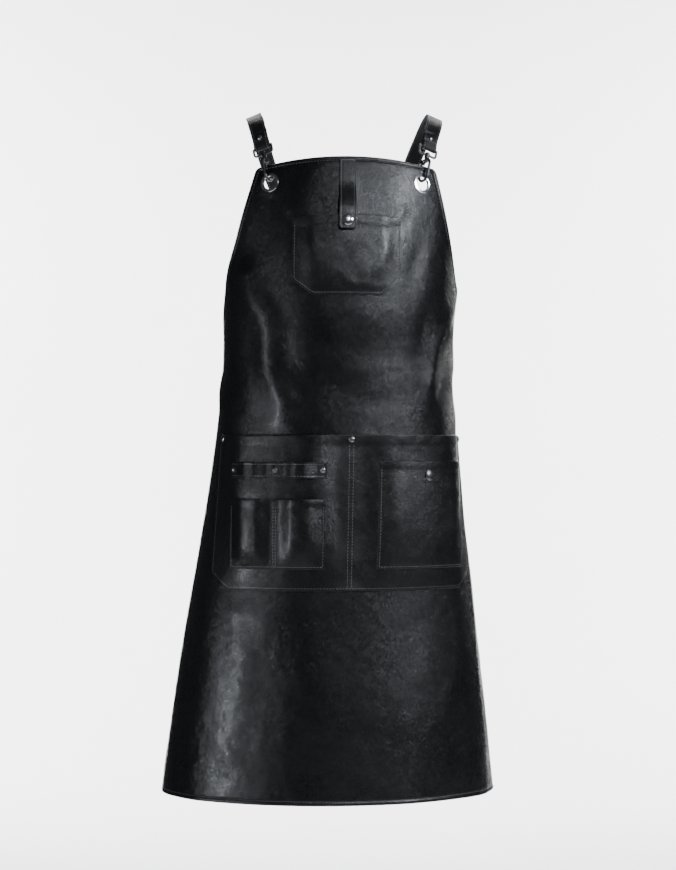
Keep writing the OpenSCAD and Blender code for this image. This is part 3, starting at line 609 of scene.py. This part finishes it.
for name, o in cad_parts.items():
    if name.endswith(("_eyelet", "_eyelet_washer")) or name.startswith("chest"):
        o_material = NICKEL
    elif "rivet" in name or "pin" in name or name.startswith("phone"):
        o_material = PEWTER
    else:
        o_material = GUNMETAL
    for slot in o.material_slots:
        slot.material = o_material
    for p in o.data.polygons:
        p.use_smooth = True



def own(o, slot, *nodes):
    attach(o, "apron")
    if nodes:
        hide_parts(*nodes)
    return o


# ---- main panel -------------------------------------------------------------------------------
r = PANEL_T * 0.55
NEAR = [0, 0.08 * r, 0.3 * r, 0.65 * r, r, 1.8, 2.6, 3.6, 4.6, 5.1, 5.5, 5.9, 6.5, 7.6]
STEP = 2.6


def panel_grid():
    last = NEAR[-1]
    cols = int(2 * (SKIRT_HALF - last) / STEP)
    t = np.linspace(-1, 1, cols + 1)[1:-1]
    rows = int((HEM_D - BIB_TOP - 2 * last) / STEP)
    v = np.linspace(0, 1, rows + 1)[1:-1]

    def top(u):
        return BIB_TOP + CROWN * u * u

    u_all = np.concatenate([[-1 + 0 * e for e in NEAR], t, [1 + 0 * e for e in NEAR]])
    e_all = np.concatenate([NEAR, np.full(len(t), 99.0), NEAR[::-1]])
    # depth of each vertex: the border rows follow the top and bottom edges
    ve = np.concatenate([NEAR, np.full(len(v), 99.0), NEAR[::-1]])
    D = np.zeros((len(ve), len(u_all)))
    # the share across, used for the top edge's curve
    rim_share = np.array([1 - e / BIB_HALF for e in NEAR])
    share = np.concatenate([-rim_share, t * (1 - last / BIB_HALF), rim_share[::-1]])
    for j in range(len(u_all)):
        a, b = top(share[j]) + last, HEM_D - last
        upper, lower = [a - last + e for e in NEAR], [HEM_D - e for e in NEAR[::-1]]
        D[:, j] = np.concatenate([upper, a + (b - a) * v, lower])
    half = edge_half(D)
    S = np.where(
        e_all[None, :] < 90,
        np.sign(u_all)[None, :] * (half - np.minimum(e_all, 50)[None, :]),
        u_all[None, :] * (half - last),
    )
    E = np.minimum(np.minimum(e_all[None, :], ve[:, None]), 99.0)
    E = np.minimum(E, np.where(e_all[None, :] > 90, half - np.abs(S), 99.0))
    return S, D, E


def panel_lift(s, d):
    return np.zeros(np.broadcast(s, d).shape)


HOLE_R = 10.2
S, D, E = panel_grid()
for hs in (-101, 101):
    far = np.hypot(S - hs, D - 93)
    near = (far > HOLE_R - 0.7 * STEP) & (far < HOLE_R + 0.3 * STEP)
    S = np.where(near, hs + (S - hs) * HOLE_R / far, S)
    D = np.where(near, 93 + (D - 93) * HOLE_R / far, D)
panel = leaf(
    "leather_panel", S, D, E, panel_lift, PANEL_T, [LEATHER, LINING],
    extra=lambda s, d, e: rim(e) * (e > 0.3),
    holes=[(-101, 93, HOLE_R), (101, 93, HOLE_R)],
)
own(panel, "black_leather", "apron_panel")


def panel_face(s, d):
    return at(s, d, PANEL_T + relief(s, d) - 0.25)


def side_path(e, d0, d1, g):
    d = np.linspace(d0, d1, 200)
    return np.stack([g * (edge_half(d) - e), d], -1)


sewing = Stitches()
for g in (-1, 1):
    sewing.on(panel_face, side_path(5.5, 78, HEM_D - 8, g))
    sewing.on(panel_face, side_path(2.4, 78, CORNER_D - 3, g), length=2.5, r=0.3)
for e in (2.4, 5.5):
    u = np.linspace(-1, 1, 120)
    x = u * (BIB_HALF - 6)
    sewing.on(panel_face, np.stack([x, BIB_TOP + CROWN * (x / BIB_HALF) ** 2 + e], -1))
x = np.linspace(-SKIRT_HALF + 9, SKIRT_HALF - 9, 300)
sewing.on(panel_face, np.stack([x, 0 * x + HEM_D - 5.5], -1), length=2.9)

# turned hems on the inside
def strip(name, s_of, d_of, w, along_n, replaces_node):
    """A folded hem, w wide, along an edge: pattern place (s_of(t, e), d_of(t, e))."""
    cols = edged(w, 2.0, 0.5)
    t = np.linspace(0, 1, along_n)
    T, Ecol = np.meshgrid(t, cols, indexing="ij")
    S, D = s_of(T, Ecol), d_of(T, Ecol)
    e = np.minimum(np.minimum(Ecol, w - Ecol), np.minimum(T, 1 - T) * 400)
    f = round_share(e, 0.5)
    base = -1.45 + relief(S, D)
    outer = at(S, D, base + 0.5 + 0.5 * f)
    inner = at(S, D, base + 0.5 - 0.5 * f + 0.25 * np.exp(-(((e - 4.8) / 0.8) ** 2)))
    if s_of(0.5, 1.0) < s_of(0.5, 0.0) or name.startswith("left"):
        outer, inner, e = outer[:, ::-1], inner[:, ::-1], e[:, ::-1]
    o = shell(name, outer, inner, [LEATHER], e, lined=False)
    return own(o, "black_leather", replaces_node)


def hem_right(T, e):
    d = 78 + (HEM_D - 12 - 78) * T
    return edge_half(d) - 0.6 - e


def hem_depth(T, e):
    return 78 + (HEM_D - 12 - 78) * T + 0 * e


hem_r = strip("right_turned_hem", hem_right, hem_depth, 9, 300, "right_edge_hem")
hem_l = strip("left_turned_hem", lambda T, e: -hem_right(T, e), hem_depth, 9, 300, "left_edge_hem")


def cross_strip(name, d_of, half, w, n, node):
    cols = np.linspace(-half, half, n)
    rows = edged(w, 2.0, 0.5)
    Erow, Scol = np.meshgrid(rows, cols, indexing="ij")
    D = d_of(Scol, Erow)
    e = np.minimum(np.minimum(Erow, w - Erow), (half - np.abs(Scol)))
    f = round_share(e, 0.5)
    base = -1.45 + relief(Scol, D)
    outer = at(Scol, D, base + 0.5 + 0.5 * f)
    inner = at(Scol, D, base + 0.5 - 0.5 * f)
    if D[0, 0] > D[-1, 0]:
        outer, inner, e = outer[::-1], inner[::-1], e[::-1]
    o = shell(name, outer, inner, [LEATHER], e, lined=False)
    return own(o, "black_leather", node)


def below_top(s, e):
    return BIB_TOP + CROWN * (s / BIB_HALF) ** 2 + 0.6 + e


hem_t = cross_strip("bib_turned_hem", below_top, BIB_HALF * 0.9, 9, 110, "bib_edge_hem")
hem_b = cross_strip(
    "lower_turned_hem", lambda s, e: HEM_D - 0.6 - e, SKIRT_HALF * 0.95, 12, 240, "lower_edge_hem"
)


# ---- pockets --------------------------------------------------------------------------------------
def pocket_grid(p, step, arch=0.0):
    w, h = p[1] * 2, p[3]
    ecols = edged(w, step, 0.77)
    erows = edged(h, step, 0.77)
    u = ecols / w * 2 - 1
    d = p[2] + erows
    U, D = np.meshgrid(u, d)
    half = pocket_half(p, D)
    # keep the border columns at a true distance from the edge
    e_side = np.minimum(ecols, w - ecols)
    border = e_side < 1.8
    inner_half = half - 1.8
    S = np.where(border[None, :], np.sign(U) * (half - e_side[None, :]), U / (1 - 2 * 1.8 / w) * inner_half)
    E = np.minimum(half - np.abs(S), np.minimum(erows, h - erows)[:, None])
    if arch:
        D = D - arch * (1 - (S / p[1]) ** 2) * np.clip(1 - (D - p[2]) / 40, 0, 1)
    return S + p[0], D, E


def mouth_band(p, width):
    def extra(s, d, e):
        v = d - p[2]
        hem = 0.55 * (1 - smooth((v - width) / 1.2)) - 0.35 * np.exp(-(((v - width + 1.6) / 0.8) ** 2))
        side = np.where(v > width, rim(e, 3.2, 0.25, 0.3), 0)
        return (hem + side) * (e > 0.2)

    return extra


def pocket_piece(name, p, lift, node, step=2.6, arch=0.0, width=8, folds=()):
    S, D, E = pocket_grid(p, step, arch)

    def puff(s, d):
        from_snap = 1 - np.exp(-(((s - p[7]) ** 2 + (d - p[8]) ** 2) / 22**2))
        loose = smooth((p[1] - np.abs(s - p[0])) / 16) * smooth((p[2] + p[3] - d) / 16) * from_snap
        h = 0.5 * noise(s / 26 + 9, d / 30 + 2, 5) + 0.22 * noise(s / 10, d / 13, 6)
        for path, w, height in folds:
            h = h + ridge(s, d, path, w, height, 0.8)
        return h * loose

    def full(s, d):
        return lift(s, d) + puff(s, d)

    o = leaf(name, S, D, E, full, PLY_T, [POCKET, LINING], extra=mouth_band(p, width))
    own(o, "black_leather", node)

    def face(s, d):
        return at(s, d, full(s, d) + relief(s, d) + PLY_T - 0.12)

    return o, face


def outline(p, inset, top=0.0):
    """Stitch path down one side, round the bottom and up the other."""
    c, r0, d0, d1 = p[0], p[1] - inset, p[2] + top, p[2] + p[3] - inset
    if p[6]:
        k = inset * 0.42
        low, cut = d1 - p[6] + k, p[5] - k
        left, right = c - r0, c + r0
        return [(left, d0), (left, low), (left + cut, d1), (right - cut, d1), (right, low), (right, d0)]
    return [(c - r0, d0), (c - r0, d1), (c + r0, d1), (c + r0, d0)]


def fine_path(path, n=60):
    path = np.asarray(path, float)
    legs = [np.linspace(a, b, n) for a, b in zip(path, path[1:])]
    return np.concatenate([leg[:-1] for leg in legs[:-1]] + legs[-1:])


chest_folds = [
    ([(-58, 150, 0.2), (-40, 186, 1), (-30, 222, 0.2)], 9, 1.0),
    ([(20, 222, 0.3), (38, 200, 1), (54, 172, 0.2)], 10, 1.5),
    ([(-10, 205, 0.2), (14, 228, 1), (50, 226, 0.3)], 7, 1.1),
]
chest, chest_face = pocket_piece(
    "chest_pocket_leather", CHEST, chest_lift, "chest_pocket", step=1.8, arch=4.0, width=9, folds=chest_folds
)
waist_folds = [
    ([(-30, 430, 0.2), (-36, 480, 1), (-30, 560, 0.3)], 14, 1.2),
    ([(30, 430, 0.2), (40, 520, 1), (28, 590, 0.4)], 14, 1.3),
]
waist, waist_face = pocket_piece(
    "waist_pocket_leather", WAIST, waist_lift, "waist_pocket", width=9, folds=waist_folds
)
tools_folds = [
    ([(-124, 500, 0.6), (-126, 540, 1), (-122, 570, 0.3)], 12, 1.2),
    ([(-61, 500, 0.6), (-59, 540, 1), (-63, 570, 0.3)], 12, 1.2),
    ([(-150, 566, 0.5), (-130, 556, 1), (-108, 568, 0.2)], 7, 0.8),
]
tools, tools_face = pocket_piece(
    "tool_pocket_leather", TOOLS, tools_lift, "tool_pockets", step=1.8, width=8, folds=tools_folds
)
phone_folds = [
    ([(64, 470, 0.4), (60, 520, 1), (66, 565, 0.3)], 11, 1.0),
    ([(140, 480, 0.4), (146, 530, 1), (138, 570, 0.3)], 11, 1.2),
]
phone, phone_face = pocket_piece(
    "phone_pocket_leather", PHONE, phone_lift, "phone_pocket", step=1.8, width=8, folds=phone_folds
)


def band_extra(s, d, e):
    return rim(e, 2.6, 0.3, 0.25) * (e > 0.2)


S, D, E = pocket_grid(BAND, 1.5)
band = leaf("tool_band_leather", S, D, E, band_lift, PLY_T, [POCKET, LINING], extra=band_extra)
own(band, "black_leather", "tool_band")


def band_face(s, d):
    return at(s, d, band_lift(s, d) + relief(s, d) + PLY_T - 0.1)


# Pocket stitches in the lighter thread, whose brightness is a painted highlight
painted_highlight_sewing = Stitches()
painted_highlight_sewing.on(chest_face, fine_path(outline(CHEST, 3.2, 1.0)))
painted_highlight_sewing.on(chest_face, [(x, CHEST[2] + 7.6 - 4.0 * (1 - (x / 69) ** 2)) for x in np.linspace(-66, 66, 80)])
painted_highlight_sewing.on(waist_face, fine_path(outline(WAIST, 3.2, 1.0)))
painted_highlight_sewing.on(waist_face, [(x, WAIST[2] + 7.6) for x in np.linspace(-185, 185, 200)])
for x in (-2.6, 2.6):
    painted_highlight_sewing.on(waist_face, [(x, q) for q in np.linspace(WAIST[2] + 12, WAIST[2] + WAIST[3] - 4, 100)])
painted_highlight_sewing.on(tools_face, fine_path(outline(TOOLS, 3.0, 1.0)))
painted_highlight_sewing.on(tools_face, [(x, TOOLS[2] + 6.4) for x in np.linspace(-151, -33, 100)])
for x in (-1.5, 1.5):
    painted_highlight_sewing.on(tools_face, [(TOOLS[0] + x, q) for q in np.linspace(TOOLS[2] + 1, TOOLS[2] + TOOLS[3] - 3, 60)])
painted_highlight_sewing.on(phone_face, fine_path(outline(PHONE, 3.0, 1.0)))
painted_highlight_sewing.on(phone_face, [(x, PHONE[2] + 6.4) for x in np.linspace(36, 162, 100)])
for e in (2.6, BAND[3] - 2.6):
    painted_highlight_sewing.on(band_face, [(x, BAND[2] + e) for x in np.linspace(-151, -33, 100)])
pocket_thread = own(painted_highlight_sewing.make("pocket_stitches", THREAD_LIT), "black_leather")

# ---- chest tab, which lifts about its top seam ---------------------------------------------------------
TAB_HALF, TAB_TOP, TAB_END, TAB_LOW = 10.4, 63, 154, PANEL_T + GAP
SNAP_D, SNAP_H, TAB_SLACK = 143.5, 3.3, 0.3


def cad_chest_lift(s, d):
    return PANEL_T + GAP + (GAPE - 1.5) * belly(CHEST, s, d)


def tab_lift(s, d):
    top = float(cad_chest_lift(np.array(0.0), np.array(float(SNAP_D)))) + PLY_T + SNAP_H + TAB_SLACK
    return TAB_LOW + (top - TAB_LOW) * smooth((d - 92) / 38) + 0 * s


def tab_piece():
    w, h = 2 * TAB_HALF, TAB_END - TAB_TOP
    ec, er = edged(w, 1.4, 0.77), edged(h, 1.6, 0.77)
    U, V = np.meshgrid(ec, er)
    tip = rounded(h - V, 4.0)
    half = TAB_HALF - np.where(V > h - 4, tip, 0)
    S = (U / w * 2 - 1) * half
    D = TAB_TOP + V
    E = np.minimum(np.minimum(U, w - U), np.minimum(V, h - V))
    f = round_share(E, 0.77)
    ex = rim(E, 2.4, 0.25, 0.3) * (E > 0.2)
    base = tab_lift(S, D)
    outer = at(S, D, base + PLY_T / 2 + f * PLY_T / 2 + ex)
    inner = at(S, D, base + PLY_T / 2 - f * PLY_T / 2)
    return shell("chest_tab_leather", outer, inner, [POCKET, LINING], E)


tab = tab_piece()
tab_sewing = Stitches()


def tab_face(s, d):
    return at(s, d, tab_lift(s, d) + PLY_T - 0.1)


seam_s, seam_top, seam_end = TAB_HALF - 2.4, TAB_TOP + 2, TAB_END - 2.6
tab_seam = fine_path([(-seam_s, seam_top), (-seam_s, seam_end), (seam_s, seam_end), (seam_s, seam_top)])
tab_sewing.on(tab_face, tab_seam, pitch=3.6, length=2.6)
tab_sewing.on(tab_face, [(x, TAB_TOP + 2.4) for x in np.linspace(-8, 8, 10)], pitch=3.4, length=2.4)
# The tab's stitches use the thread with the painted highlight
tab_thread = tab_sewing.make("chest_tab_stitches", THREAD_LIT)
for o in (tab, tab_thread):
    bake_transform(o)
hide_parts("chest_tab")

panel_thread = own(sewing.make("panel_stitches", THREAD), "black_leather")

# ---- straps and waist tabs, along the same paths as the CAD model's ---------------------------------------
STRAP_W = 21
EYE = (BIB_HALF - 20, BIB_TOP + 33)
HOOK_R, HOOK_STRAIGHT, EYE_R, TILT = 7.8, 15, 8.6, math.radians(18)
NECK_U = HOOK_STRAIGHT + HOOK_R
BAR_U = NECK_U + 5.7 + 9.5
LOOP_WIRE = 1.5
FOLD_R = LOOP_WIRE + 0.4 + PLY_T / 2
RING_H, RING_AT, PLY = 5.6, (SKIRT_HALF + 13, CORNER_D - 18), 1.1


def pull(g):
    return math.cos(TILT) * upward(g * EYE[0], EYE[1]) + math.sin(TILT) * g * along(g * EYE[0], EYE[1])


def facing(g):
    return outward(g * EYE[0], EYE[1])


def strap_start(g):
    return at(g * EYE[0], EYE[1], PANEL_T / 2) + (EYE_R + 3.6 + BAR_U) * pull(g) - facing(g)


def ring_o(g):
    return at(g * RING_AT[0], RING_AT[1], PANEL_T / 2)


def under(g):
    return 3.4 if g > 0 else 0.0


def leave(g):
    return np.array([g * 17, 119 + under(-g), -226.0])


def rise(g):
    return unit(leave(g) - ring_o(g))


def ring_flat(g):
    n = outward(g * RING_AT[0], RING_AT[1])
    return unit(n - (n @ rise(g)) * rise(g))


def wide(g):
    return np.cross(ring_flat(g), rise(g))


def u_turn(o, run, n, r, k=14):
    return [o + r * (math.cos(a) * n - math.sin(a) * run) for a in np.linspace(0, math.pi, k)]


def catmull(points, n):
    p = np.asarray(points, float)
    out = []
    for i in range(len(p) - 1):
        a, b, c, e = p[max(i - 1, 0)], p[i], p[i + 1], p[min(i + 2, len(p) - 1)]
        for k in range(n):
            t = k / n
            square, cube = 2 * a - 5 * b + 4 * c - e, 3 * b - a - 3 * c + e
            out.append(0.5 * (2 * b + (c - a) * t + square * t * t + cube * t**3))
    return out + [p[-1]]


def back_normal(p):
    return unit(p - np.array([0.6 * p[0], 0, min(p[2], -110)]))


def ribbon(name, points, widths, w, t, material):
    """A strap with rounded edges along points, w wide and t thick, and the path for its stitches."""
    p, b = np.asarray(points, float), unit(np.asarray(widths, float))
    step = np.r_[0, np.cumsum(np.linalg.norm(np.diff(p, axis=0), axis=1))]
    n = int(step[-1] / 2.2)
    fine = [x for x in np.linspace(0, step[-1], n)]
    turn = [np.dot(unit(p[i] - p[i - 1]), unit(p[i + 1] - p[i])) for i in range(1, len(p) - 1)]
    bends = [step[i + 1] for i, cosine in enumerate(turn) if cosine < 0.985]
    x = np.unique(np.concatenate([fine, bends, [0.15, 0.5, step[-1] - 0.5, step[-1] - 0.15]]))
    P = np.stack([np.interp(x, step, p[:, k]) for k in range(3)], -1)
    B = unit(np.stack([np.interp(x, step, b[:, k]) for k in range(3)], -1))
    run = unit(np.gradient(P, axis=0))
    side = unit(B - (B * run).sum(-1, keepdims=True) * run)
    up = np.cross(side, run)
    # closed cross-section: across, height
    e = edged(w, 2.6, 0.7)
    across = e - w / 2
    near = np.minimum(e, w - e)
    f = round_share(near, 0.7)
    prof = rim(near, 2.4, 0.16, 0.2) * (near > 0.2)
    end = np.minimum(x, x[-1] - x)
    fe = round_share(end, 0.7)
    F = np.minimum(f[None, :], fe[:, None])
    half_t = (F * t / 2 + prof[None, :] * (F > 0.9))[..., None]
    outer = P[:, None] + side[:, None] * across[None, :, None] + up[:, None] * half_t
    inner = P[:, None] + side[:, None] * across[None, :, None] - up[:, None] * half_t
    Egrid = np.minimum(near[None, :], end[:, None])
    o = shell(name, outer, inner, [material], Egrid, lined=False)
    return o, (P, side, up, x)


def seam(sew, path, x0, x1, offset, height):
    P, side, up, x = path
    keep = (x >= x0) & (x <= x1)
    if keep.sum() < 3:
        return
    facing_up = up[keep] * (1 if height > 0 else -1)
    sew.line(P[keep] + side[keep] * offset + up[keep] * height, facing_up, pitch=3.8, length=2.7, r=0.32)


strap_sewing = Stitches()
for g, name in ((-1, "left"), (1, "right")):
    start, u0, n0, n1, run = strap_start(g), pull(g), facing(g), ring_flat(-g), rise(-g)
    end, far = ring_o(-g) + RING_H * run, leave(-g)
    reach = np.linalg.norm(far - end)
    close = FOLD_R - PLY
    across_g = np.cross(n0, u0)
    folded = [start + 24 * k / 8 * u0 - (FOLD_R - close * smooth(min(1, k / 5))) * n0 for k in range(8, 0, -1)]
    rising = [start + 4 * k * u0 + (FOLD_R - close * smooth(min(1, k / 4))) * n0 for k in (1, 2, 3, 4)]
    over = [(115, -36, -12), (118, -15, -1.5), (117, 2, 0.7), (113, 27, -7)]
    over += [(102, 60, -36), (83, 90, -84), (52, 111, -140), (17, 119, -182)]
    over = [np.array([g * q[0], q[1] + under(g) * smooth((-100 - q[2]) / 60), q[2]]) for q in over]
    main = catmull([rising[1], rising[3]] + over + [far], 8)
    steps = [(reach - 14, 0.2), (reach - 28, 0.6), (reach - 42, 0.95), (55, 1), (36, 1), (16, 1), (7, 1)]
    lower = [
        end + q * run + (PLY * w if q > 10 else (PLY + FOLD_R) / 2) * n1 + ((1 - w) * 0.4 if q > 60 else 0) * n1
        for q, w in steps
    ]
    tail = [end + k * run - (PLY if k > 10 else (PLY + FOLD_R) / 2) * n1 for k in (7, 16, 36, 55, 74)]
    first = folded + u_turn(start, u0, -n0, FOLD_R) + rising[:1]
    points = first + main + lower + u_turn(end, run, n1, FOLD_R) + tail
    widths = []
    a, b = len(first), len(first) + len(main)
    for i in range(len(points)):
        if 0 < i < len(points) - 1:
            side_v = unit(np.cross(back_normal(points[i]), points[i + 1] - points[i - 1]))
        if i < a + 2:
            widths.append(across_g)
        elif i < a + 18:
            widths.append(unit(across_g + (side_v - across_g) * smooth((i - a - 1) / 16)))
        elif i < b:
            widths.append(side_v)
        elif i < b + len(lower):
            w = steps[i - b][1]
            widths.append(unit(side_v * (1 - w) - wide(-g) * w))
        else:
            widths.append(-wide(-g))
    o, path = ribbon(f"{name}_shoulder_strap", points, widths, STRAP_W, PLY_T, STRAP)
    own(o, "strap_leather", f"{name}_strap")
    length = path[3][-1]
    for side_x in (-STRAP_W / 2 + 2.4, STRAP_W / 2 - 2.4):
        seam(strap_sewing, path, 36, length - 82, side_x, PLY_T / 2)
        seam(strap_sewing, path, 28, length - 90, side_x, -PLY_T / 2)


# tabs at the waist corners
TAB_AIR, TAB_UNDER = 1, 3.2  # room over the panel and depth under it, as in the CAD


def tab_dir(g):
    s, d = g * RING_AT[0], RING_AT[1]
    return float(along(s, d) @ rise(g)), float(upward(s, d) @ rise(g))


def tab_sd(g, k):
    a, b = tab_dir(g)
    return g * RING_AT[0] - k * a, RING_AT[1] + k * b


for g, name in ((-1, "left"), (1, "right")):
    bar = ring_o(g) - RING_H * rise(g)
    ks = [56, 53, 50, 47, 44, 41, 38, 35, 32, 29, 26, 23, 20, 17, 14]
    upper = [at(*tab_sd(g, k), PANEL_T + TAB_AIR + PLY_T / 2) for k in ks]
    lower = [at(*tab_sd(g, k), -TAB_UNDER - PLY_T / 2) for k in ks[::-1]]
    points = upper + u_turn(bar, -rise(g), ring_flat(g), FOLD_R) + lower
    a, b = tab_dir(g)
    w0 = []
    for k in ks:
        s, d = tab_sd(g, k)
        w0.append(unit(np.cross(outward(s, d), a * along(s, d) + b * upward(s, d))))
    w0 = [unit(w * (1 - t) + wide(g) * t) for w, t in zip(w0, smooth(np.linspace(-1.2, 1, len(ks))))]
    widths = w0 + [wide(g)] * 14 + w0[::-1]
    o, path = ribbon(f"{name}_waist_tab_leather", points, widths, STRAP_W, PLY_T, STRAP)
    own(o, "strap_leather", f"{name}_waist_tab")
    for side_x in (-STRAP_W / 2 + 2.4, STRAP_W / 2 - 2.4):
        seam(strap_sewing, path, 1.5, 40, side_x, PLY_T / 2)

# diamond where the straps cross
cross_y = 119 + 3.4 + PLY_T / 2 + 0.4 + GAP


def patch():
    t = edged(34.8, 1.4, 0.7)
    U, V = np.meshgrid(t / 34.8, t / 34.8)
    near = np.minimum(np.minimum(U, 1 - U), np.minimum(V, 1 - V)) * 34.8
    # a diamond with its points up, down and to the sides
    X = 22 * (U - V)
    Z = 27 * (1 - U - V)
    f = round_share(near, 0.7)
    ex = rim(near, 2.6, 0.25, 0.3) * (near > 0.2)
    outer = np.stack([-X, cross_y + 0.7 + 0.7 * f + ex, Z - 204], -1)
    inner = np.stack([-X, cross_y + 0.7 - 0.7 * f, Z - 204], -1)
    return shell("strap_cross_diamond", outer, inner, [STRAP], near, lined=False)


own(patch(), "strap_leather", "strap_cross_patch")
corner = np.array([[0, 0, 27.0], [22, 0, 0], [0, 0, -27], [-22, 0, 0], [0, 0, 27]]) * 0.87
line = fine_path(corner + [0, cross_y + 1.4, -204], 12)
strap_sewing.line(line, np.tile([0, 1.0, 0], (len(line), 1)), pitch=3.6, length=2.6, r=0.32)
# The strap stitches use the thread with the painted highlight
own(strap_sewing.make("strap_stitches", THREAD_LIT), "strap_leather")

# ---- floor, backdrop and light ------------------------------------------------------------------------
def studio():
    n = Nodes("backdrop_paper")
    cloud = n.noise(3, 3)
    n.link(n.mix(cloud, (0.86, 0.86, 0.87), (0.9, 0.9, 0.905)), n.p.inputs["Base Color"])
    n.set(Roughness=0.95, Specular_IOR_Level=0.2)
    z0, y0, bend = -1.42, 5.2, 1.4
    profile = [(-2.2, z0), (0.0, z0), (y0 - bend, z0)]
    for a in np.linspace(0.1, math.pi / 2, 14):
        profile.append((y0 - bend + bend * math.sin(a), z0 + bend * (1 - math.cos(a))))
    profile += [(y0, z0 + 2.9)]
    pts, faces = [], []
    for y, z in profile:
        pts += [(-1.0, y, z), (1.75, y, z)]
    for i in range(len(profile) - 1):
        faces.append((2 * i, 2 * i + 1, 2 * i + 3, 2 * i + 2))
    o = add_object("backdrop", np.array(pts) / MM, faces, [n.m])


def lamp(name, place, aim, size, power, colour=(1, 1, 1)):
    light = bpy.data.lights.new(name, "AREA")
    light.shape = "RECTANGLE"
    light.size, light.size_y = size
    light.energy = power
    light.color = colour
    o = bpy.data.objects.new(name, light)
    bpy.context.scene.collection.objects.link(o)
    o.location = place
    o.rotation_euler = (Vector(place) - Vector(aim)).to_track_quat("Z", "Y").to_euler()


studio()
world = bpy.data.worlds.new("studio")
world.use_nodes = True
world.node_tree.nodes["Background"].inputs[0].default_value = (0.9, 0.94, 1.0, 1)
world.node_tree.nodes["Background"].inputs[1].default_value = 0.05
bpy.context.scene.world = world
COOL = (0.9, 0.94, 1.0)
lamp("key_right", (2.0, -1.7, 0.72), (0.05, -0.1, -0.2), (0.45, 0.6), 54, COOL)
lamp("front_right", (0.52, -2.8, 1.15), (0, -0.1, -0.15), (0.2, 0.7), 25, COOL)
lamp("left_low", (-2.2, -1.25, -0.62), (-0.1, -0.1, -0.4), (0.2, 0.4), 15, COOL)
lamp("side_right", (2.5, 0.3, -0.3), (0.1, 0, -0.6), (0.3, 1.6), 0.4, COOL)
lamp("side_left", (-2.5, 0.3, -0.3), (-0.1, 0, -0.6), (0.3, 1.6), 0.4, COOL)
lamp("top", (0, -0.4, 2.2), (0, 0, -0.3), (1.0, 0.6), 0.8, COOL)
lamp("back_left", (-2.1, 3.3, 0.5), (0.1, 5.2, -0.5), (0.8, 1.4), 300)
lamp("back_right", (2.9, 3.3, 0.5), (0.6, 5.2, -0.5), (0.8, 1.4), 300)
lamp("floor_wash", (0.3, 2.4, 1.7), (0.3, 3.2, -1.4), (2.2, 0.8), 210)
